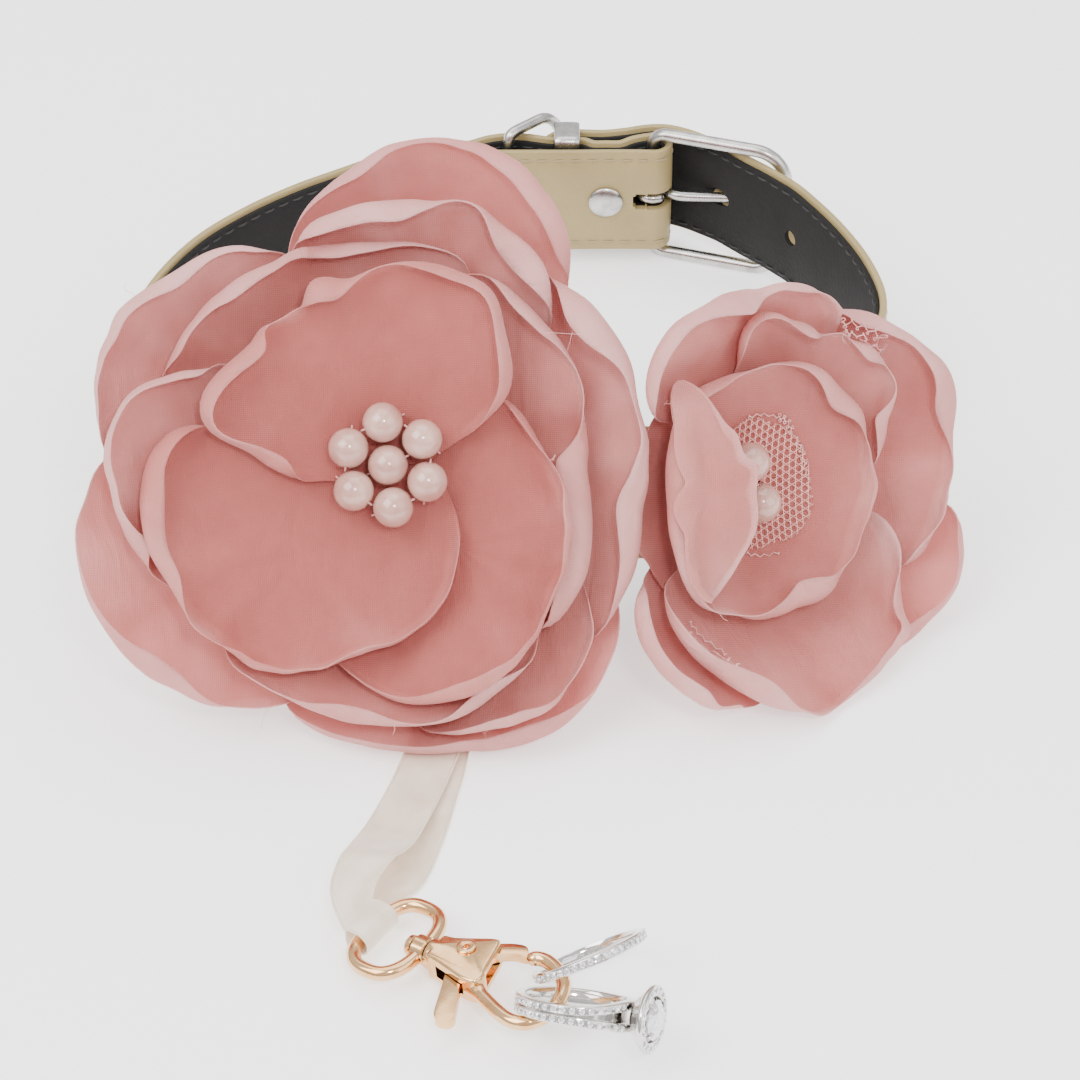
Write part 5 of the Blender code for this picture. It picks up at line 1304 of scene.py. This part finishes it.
GATE = catmull([(4.5, 2.9), (7.4, 5.4), (10.6, 7.5), (12.9, 8.45), (14.4, 8.35), (15.35, 6.75), (13.2, 6.2), (11.4, 5.2),
                (9.0, 2.8), (8.6, 0.4), (8.9, -2.2), (9.4, -4.6), (11.2, -7.9), (12.9, -11.2), (12.4, -12.6), (10.6, -13.0),
                (9.4, -12.0), (7.8, -8.4), (6.2, -4.8), (5.0, -2.0), (4.3, 0.4)], 3, closed=True)
gate = plate([tuple(q) for q in GATE], 1.0, O, h, wv_, 0, "hook_gate_polished", M_GOLD)
bm = bmesh.new()
bm.from_mesh(gate.data)
bmesh.ops.recalc_face_normals(bm, faces=bm.faces)
bm.to_mesh(gate.data)
bm.free()
gh = as_object("b8", *revolve([(0.0, -2.0), (1.15, -2.0), (1.15, 2.0), (0.0, 2.0)], 32, L3(*PIV), n, h), M_GOLD)
rc = as_object("b9", *revolve([(0.0, 0.25), (2.0, 0.25), (2.0, 1.25), (0.0, 1.25)], 32, L3(*PIV), n, h), M_GOLD)
bool_with(gate, gh, "DIFFERENCE")
bool_with(gate, rc, "DIFFERENCE")
md = gate.modifiers.new("Bevel", "BEVEL")
md.width = 0.3 * MM
md.segments = 3
md.limit_method = "ANGLE"
md.angle_limit = math.radians(50)
bake_mods(gate)
remove(gh, rc)
finish_piece(gate, "gate", ("hook_gate",), 32)

v, f = revolve([(0.0, -2.7), (0.9, -2.7), (0.9, 2.72), (1.55, 2.72), (1.72, 2.85), (1.72, 3.05), (1.5, 3.2), (1.2, 3.2), (1.1, 3.02), (0.85, 3.0), (0.7, 3.1), (0.5, 3.05), (0.42, 2.45), (0.0, 2.4)], 32, L3(*PIV), n, h)
pin = as_object("gate_pin_polished", v, f, M_GOLD)
finish_piece(pin, "hook", ("gate_pin",), 35)
co = np.array([L3(*PIV) + 1.55 * (h * math.cos(k * math.pi / 12) + wv_ * math.sin(k * math.pi / 12)) + n * (0.42 + 0.5 * k / 36) for k in range(37)])
v, f = tube(co, 0.14, 10)
make("gate_spring_wire", P(v), f, M_SILVER, "hook", replaces=("gate_spring",))

# ------------------------------------------------------------------ ribbon
loop_c = O + h * (-7.4 - 5.6 + 0.12)
secs = [((-23.0, -20.5, 16.0), (1, 0, 0)), ((-22.5, -28.0, 13.2), (1, 0, 0)), ((-21.5, -36.0, 8.6), (1, 0, 0)),
        ((-19.2, -45.0, 4.2), (1, -0.05, 0)), ((-19.0, -54.0, 1.9), (0.98, -0.18, 0)), ((-20.8, -62.0, 1.5), (0.96, -0.26, 0)),
        ((-23.4, -71.0, 1.9), (0.95, -0.30, 0)), ((-26.4, -81.0, 3.8), (0.95, -0.30, 0)),
        ((-28.7, -87.6, 6.3), (0.99, -0.14, 0)), ((-30.2, -91.0, 7.4), (0.99, 0.08, 0)), ((-32.0, -96.4, 6.5), (0.88, 0.46, 0))]
secs = [(np.array(c), unit(np.array(w_, float))) for c, w_ in secs]
for d, r in ((-2.6, 2.6), (-1.2, 2.45)):
    secs.append((loop_c + h * d + n * r, wv_))
for k in range(7):
    a = math.radians(90 - 30 * k)
    secs.append((loop_c + h * (2.4 * math.cos(a)) + n * (2.4 * math.sin(a)), wv_))
secs.append((loop_c + h * -1.8 - n * 2.35, wv_))
for c, w_ in [((-29.6, -98.6, 0.75), (0.86, 0.5, 0)), ((-25.4, -91.5, 0.5), (0.98, 0.16, 0)), ((-22.2, -81.0, 0.5), (1, 0.10, 0)),
              ((-20.0, -70.0, 0.5), (1, 0.10, 0)), ((-18.2, -60.0, 0.55), (1, 0.08, 0)), ((-17.5, -51.0, 0.9), (1, 0.04, 0)),
              ((-18.5, -42.5, 2.9), (1, 0, 0)), ((-20.0, -35.0, 6.4), (1, 0, 0)), ((-21.0, -27.5, 10.6), (1, 0, 0)),
              ((-21.5, -21.0, 13.4), (1, 0, 0))]:
    secs.append((np.array(c), unit(np.array(w_, float))))
cc = catmull([s[0] for s in secs], 7)
ww = unit(catmull([s[1] for s in secs], 7))
near = np.clip(1 - np.clip(np.linalg.norm(cc - loop_c, axis=1) - 4, 0, None) / 6, 0, 1)
half_w = 4.75 + (4.2 - 4.75) * near
tr_ = unit(np.gradient(cc, axis=0))
nr = unit(np.cross(ww, tr_))
ra = np.concatenate([[0], np.cumsum(np.linalg.norm(np.diff(cc, axis=0), axis=1))])
ys = np.array([-1, -0.93, -0.8, -0.55, -0.28, 0, 0.28, 0.55, 0.8, 0.93, 1.0])
V, UV = [], []
for i in range(len(cc)):
    cup = 0.32 * math.sin(ra[i] * 0.16 + 0.6) * (1 - near[i])
    for y in ys:
        edge = 0.10 if abs(y) > 0.9 else 0.0
        V.append(cc[i] + ww[i] * y * half_w[i] + nr[i] * (cup * (y * y - 0.4) + edge * 0.3))
        UV.append((ra[i], y * half_w[i]))
m = len(ys)
F = [(i * m + j, i * m + j + 1, (i + 1) * m + j + 1, (i + 1) * m + j) for i in range(len(cc) - 1) for j in range(m - 1)]
rib = make("ribbon_satin", P(V), F, M_RIBBON, "collar", uv=UV, replaces=("ribbon_loop",))
solidify(rib, 0.34)
edge_parts = []
for s in (-1, 1):
    e = cc + ww * (s * half_w)[:, None]
    edge_parts.append(tube(e, 0.24, 6))
v, f = join(edge_parts)
redge = make("ribbon_woven_edges", P(v), f, M_RIBBON, "collar", uv=[(q[1], q[0]) for q in v])

# ------------------------------------------------------------------ finger rings
def ring_axes(nrm_, head):
    z = unit(nrm_)
    x = unit(np.asarray(head, float) - z * (z @ np.asarray(head, float)))
    return x, np.cross(z, x), z


WC = np.array([8.367, -114.735, 8.283])
wx, wy, wz = ring_axes((-0.382, 0.611, 0.694), (1, 0, 0))
v, f = revolve([(8.85, 0.85), (8.7, 0.5), (8.65, 0.0), (8.7, -0.5), (8.85, -0.85), (9.6, -0.88), (9.95, -0.85), (10.15, -0.62), (10.08, -0.3),
                (10.05, 0.0), (10.08, 0.3), (10.15, 0.62), (9.95, 0.85), (9.6, 0.88)], 120, WC, wz, wx)
f = [q[::-1] for q in f]
make("wedding_band_polished", P(v), f, M_WHITE_GOLD, "wedding_ring", sharp=60, replaces=("wedding_band",))


def stone(c, up, side, r):
    """Small round cut stone."""
    up, side = unit(up), unit(side)
    o2 = np.cross(up, side)
    V, F = [c + up * 0.36 * r], []
    for rad_, hh, ph in ((0.55, 0.36, 0), (1.0, 0.08, math.pi / 8), (1.0, -0.06, math.pi / 8)):
        for k in range(8):
            a = 2 * math.pi * k / 8 + ph
            V.append(c + up * hh * r + r * rad_ * (math.cos(a) * side + math.sin(a) * o2))
    V.append(c - up * 0.7 * r)
    for k in range(8):
        k2 = (k + 1) % 8
        F.append((0, 1 + k, 1 + k2))
        F.append((1 + k, 9 + k, 1 + k2))
        F.append((1 + k2, 9 + k, 9 + k2))
        F.append((9 + k, 17 + k, 17 + k2, 9 + k2))
        F.append((17 + k, 25, 17 + k2))
    return np.array(V), F


parts, beads = [], []
NB = 44
for k in range(NB):
    a = 2 * math.pi * k / NB
    rd = wx * math.cos(a) + wy * math.sin(a)
    tg = -wx * math.sin(a) + wy * math.cos(a)
    parts.append(stone(WC + rd * 10.12, rd, tg, 0.58))
    a2 = a + math.pi / NB
    rd2 = wx * math.cos(a2) + wy * math.sin(a2)
    for s in (-1, 1):
        beads.append(WC + rd2 * 10.14 + wz * s * 0.5)
v, f = join(parts)
make("wedding_band_stones", P(v), f, M_STONE, "wedding_ring", smooth=False)

EC = np.array([6.081, -126.228, 8.319])
ex, ey, ez = ring_axes((0.1, 0.623, 0.776), (0.913, -0.368, 0.177))
NE = 128
V, F = [], []
for i in range(NE):
    a = 2 * math.pi * i / NE
    nearh = max(0.0, math.cos(a)) ** 3
    sp, hw_ = 0.82 + 1.05 * nearh, 0.78
    g = 0.55 + 0.5 * nearh
    r1, r0 = 10.2, 8.5
    ins = max(sp - hw_, 0.06)
    prof = [(r1 - 0.35, sp + hw_), (r1 - 0.1, sp + hw_ - 0.06), (r1, sp + hw_ - 0.24), (r1 - 0.1, sp), (r1, sp - hw_ + 0.24),
            (r1 - 0.15, ins + 0.05), (r1 - g, ins), (r1 - g, -ins), (r1 - 0.15, -ins - 0.05), (r1, -sp + hw_ - 0.24),
            (r1 - 0.1, -sp), (r1, -sp - hw_ + 0.24), (r1 - 0.1, -sp - hw_ + 0.06), (r1 - 0.35, -sp - hw_),
            (r0 + 0.35, -sp - hw_), (r0 + 0.12, -sp - hw_ + 0.2), (r0, 0.0), (r0 + 0.12, sp + hw_ - 0.2), (r0 + 0.35, sp + hw_)]
    rd = ex * math.cos(a) + ey * math.sin(a)
    for r, z in prof:
        V.append(EC + rd * r + ez * z)
m = len(prof)
for i in range(NE):
    for j in range(m):
        F.append((i * m + j, i * m + (j + 1) % m, ((i + 1) % NE) * m + (j + 1) % m, ((i + 1) % NE) * m + j))
make("engagement_shank_polished", P(V), F, M_WHITE_GOLD, "engagement_ring", sharp=50, replaces=("engagement_shank",))
parts = []
NS = 40
for k in range(NS):
    a = 2 * math.pi * k / NS
    if math.cos(a) > 0.955:
        continue
    nearh = max(0.0, math.cos(a)) ** 3
    sp = 0.82 + 1.05 * nearh
    rd = ex * math.cos(a) + ey * math.sin(a)
    tg = -ex * math.sin(a) + ey * math.cos(a)
    for s in (-1, 1):
        parts.append(stone(EC + rd * 10.18 + ez * s * sp, rd, tg, 0.56))
        a2 = a + math.pi / NS
        rd2 = ex * math.cos(a2) + ey * math.sin(a2)
        for e in (-0.5, 0.5):
            beads.append(EC + rd2 * 10.2 + ez * (s * sp + e))
v, f = join(parts)
make("engagement_shank_stones", P(v), f, M_STONE, "engagement_ring", smooth=False)

HB = EC + ex * 10.2
v, f = revolve([(0.0, 1.0), (1.6, 1.3), (3.4, 2.7), (3.75, 2.95), (3.75, 3.35), (3.9, 3.6), (4.2, 3.75), (4.5, 3.72), (4.9, 3.62), (5.3, 3.72), (5.55, 3.68), (5.8, 3.4),
                (5.82, 3.15), (5.6, 2.75), (5.0, 2.3), (4.4, 1.7), (3.8, 1.1), (3.2, 0.6), (2.6, 0.3), (0.0, 0.25)][::-1], 72, HB, ex, ez)
make("halo_setting_polished", P(v), f, M_WHITE_GOLD, "engagement_ring", sharp=50, replaces=("halo_setting",))
parts, prongs = [], []
for k in range(18):
    a = 2 * math.pi * k / 18
    rd = ez * math.cos(a) + ey * math.sin(a)
    parts.append(stone(HB + rd * 4.85 + ex * 3.72, ex, rd, 0.66))
v, f = join(parts)
make("halo_stones", P(v), f, M_STONE, "engagement_ring", smooth=False)
# centre stone, brilliant style
V, F = [], []
levels = [(0.0, 4.75, 1, 0), (1.95, 4.75, 8, 0), (2.75, 4.42, 8, math.pi / 8), (3.4, 3.95, 16, 0), (3.4, 3.72, 16, 0), (1.9, 2.6, 8, math.pi / 8), (0.0, 1.6, 1, 0)]
bmv = bmesh.new()
for r, z, k_n, ph in levels:
    for k in range(k_n):
        a = 2 * math.pi * k / k_n + ph
        bmv.verts.new(tuple(P([HB + ex * z + r * (math.cos(a) * ey + math.sin(a) * ez)])[0]))
bmesh.ops.convex_hull(bmv, input=bmv.verts[:])
me = bpy.data.meshes.new("centre_stone_cut")
bmv.to_mesh(me)
bmv.free()
cs = bpy.data.objects.new("centre_stone_cut", me)
COL.objects.link(cs)
me.materials.append(M_STONE)
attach(cs, "engagement_ring")
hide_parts("centre_stone")
for k in range(4):
    a = math.pi / 4 + k * math.pi / 2
    rd = ey * math.cos(a) + ez * math.sin(a)
    q = [HB + rd * 3.2 + ex * 2.3, HB + rd * 3.66 + ex * 3.2, HB + rd * 3.68 + ex * 3.9, HB + rd * 3.35 + ex * 4.3, HB + rd * 2.95 + ex * 4.45]
    prongs.append(tube(catmull(q, 4), 0.3, 10))


def ball(c, r):
    v_, f_ = revolve([(0.0, r), (r * 0.7, r * 0.7), (r, 0.0), (r * 0.7, -r * 0.7), (0.0, -r)], 8, c, (0, 0, 1.0), (1, 0, 0))
    return v_, [q[::-1] for q in f_]


nb = 2 * NB
v, f = join([ball(c, 0.2) for c in beads[:nb]])
make("wedding_band_beads", P(v), f, M_WHITE_GOLD, "wedding_ring")
v, f = join([ball(c, 0.19) for c in beads[nb:]] + prongs)
make("engagement_ring_beads", P(v), f, M_WHITE_GOLD, "engagement_ring")

# ------------------------------------------------------------------ cloth sheets (the loop only works out a tag)
for ob, wd, lg, ar in SHEETS:
    tag = "small" if ob.name.startswith("small") else "large"

# ------------------------------------------------------------------ stage, light, camera
me = bpy.data.meshes.new("floor")
s = 3.0
me.from_pydata([(-s, -s, 0), (s, -s, 0), (s, s, 0), (-s, s, 0)], [], [(0, 1, 2, 3)])
floor = bpy.data.objects.new("floor", me)
COL.objects.link(floor)
mf, nt, b = new_mat("floor_pale")
v = obj_coord(nt, (1, 1, 1))
no = node(nt, "ShaderNodeTexNoise")
no.inputs["Scale"].default_value = 2.0
nt.links.new(v, no.inputs["Vector"])
nt.links.new(ramp(nt, no.outputs["Fac"], [(0.3, (0.93, 0.93, 0.93, 1)), (0.7, (0.95, 0.95, 0.95, 1))]), b.inputs["Base Color"])
b.inputs["Roughness"].default_value = 0.9
b.inputs["Specular IOR Level"].default_value = 0.1
b.inputs["Emission Color"].default_value = (1, 1, 1, 1)
b.inputs["Emission Strength"].default_value = 0.85
me.materials.append(mf)

world = bpy.data.worlds.new("studio")
bpy.context.scene.world = world
world.use_nodes = True
bg = world.node_tree.nodes["Background"]
wt = world.node_tree
tc = wt.nodes.new("ShaderNodeTexCoord")
sp_ = wt.nodes.new("ShaderNodeSeparateXYZ")
wt.links.new(tc.outputs["Generated"], sp_.inputs["Vector"])
up_ = math_node(wt, "MULTIPLY_ADD", sp_.outputs["Z"], 0.5)
up_.node.inputs[2].default_value = 0.5
wt.links.new(ramp(wt, up_, [(0.0, (0.95, 0.95, 0.95, 1)), (0.47, (0.86, 0.86, 0.87, 1)), (0.58, (0.74, 0.74, 0.75, 1)), (0.70, (1, 1, 1, 1)), (1.0, (1, 1, 1, 1))]), bg.inputs["Color"])
bg.inputs["Strength"].default_value = 1.1


def area(name, loc, target, size, power):
    d = bpy.data.lights.new(name, "AREA")
    d.size = size
    d.energy = power
    o = bpy.data.objects.new(name, d)
    COL.objects.link(o)
    o.location = loc
    o.rotation_euler = (Vector(target) - Vector(loc)).to_track_quat("-Z", "Y").to_euler()


area("key", (-0.55, -0.35, 0.85), (0, 0, 0.03), 0.7, 10.0)
area("fill", (0.8, -0.5, 0.6), (0, 0, 0.03), 0.8, 4.0)
area("top", (0.0, 0.35, 1.0), (0, 0, 0.0), 0.9, 6.0)
area("sparkle", (0.12, -0.55, 0.62), (0, -0.03, 0.03), 0.10, 2.6)

cam_d = bpy.data.cameras.new("camera")
cam_d.lens = 110.0
cam_d.sensor_width = 36.0
cam_d.clip_end = 20.0
cam = bpy.data.objects.new("camera", cam_d)
COL.objects.link(cam)
cam.location = tuple(P([(0.0, -495.7, 419.4)])[0])
cam.rotation_euler = (math.radians(50.0), 0, 0)
bpy.context.scene.camera = cam
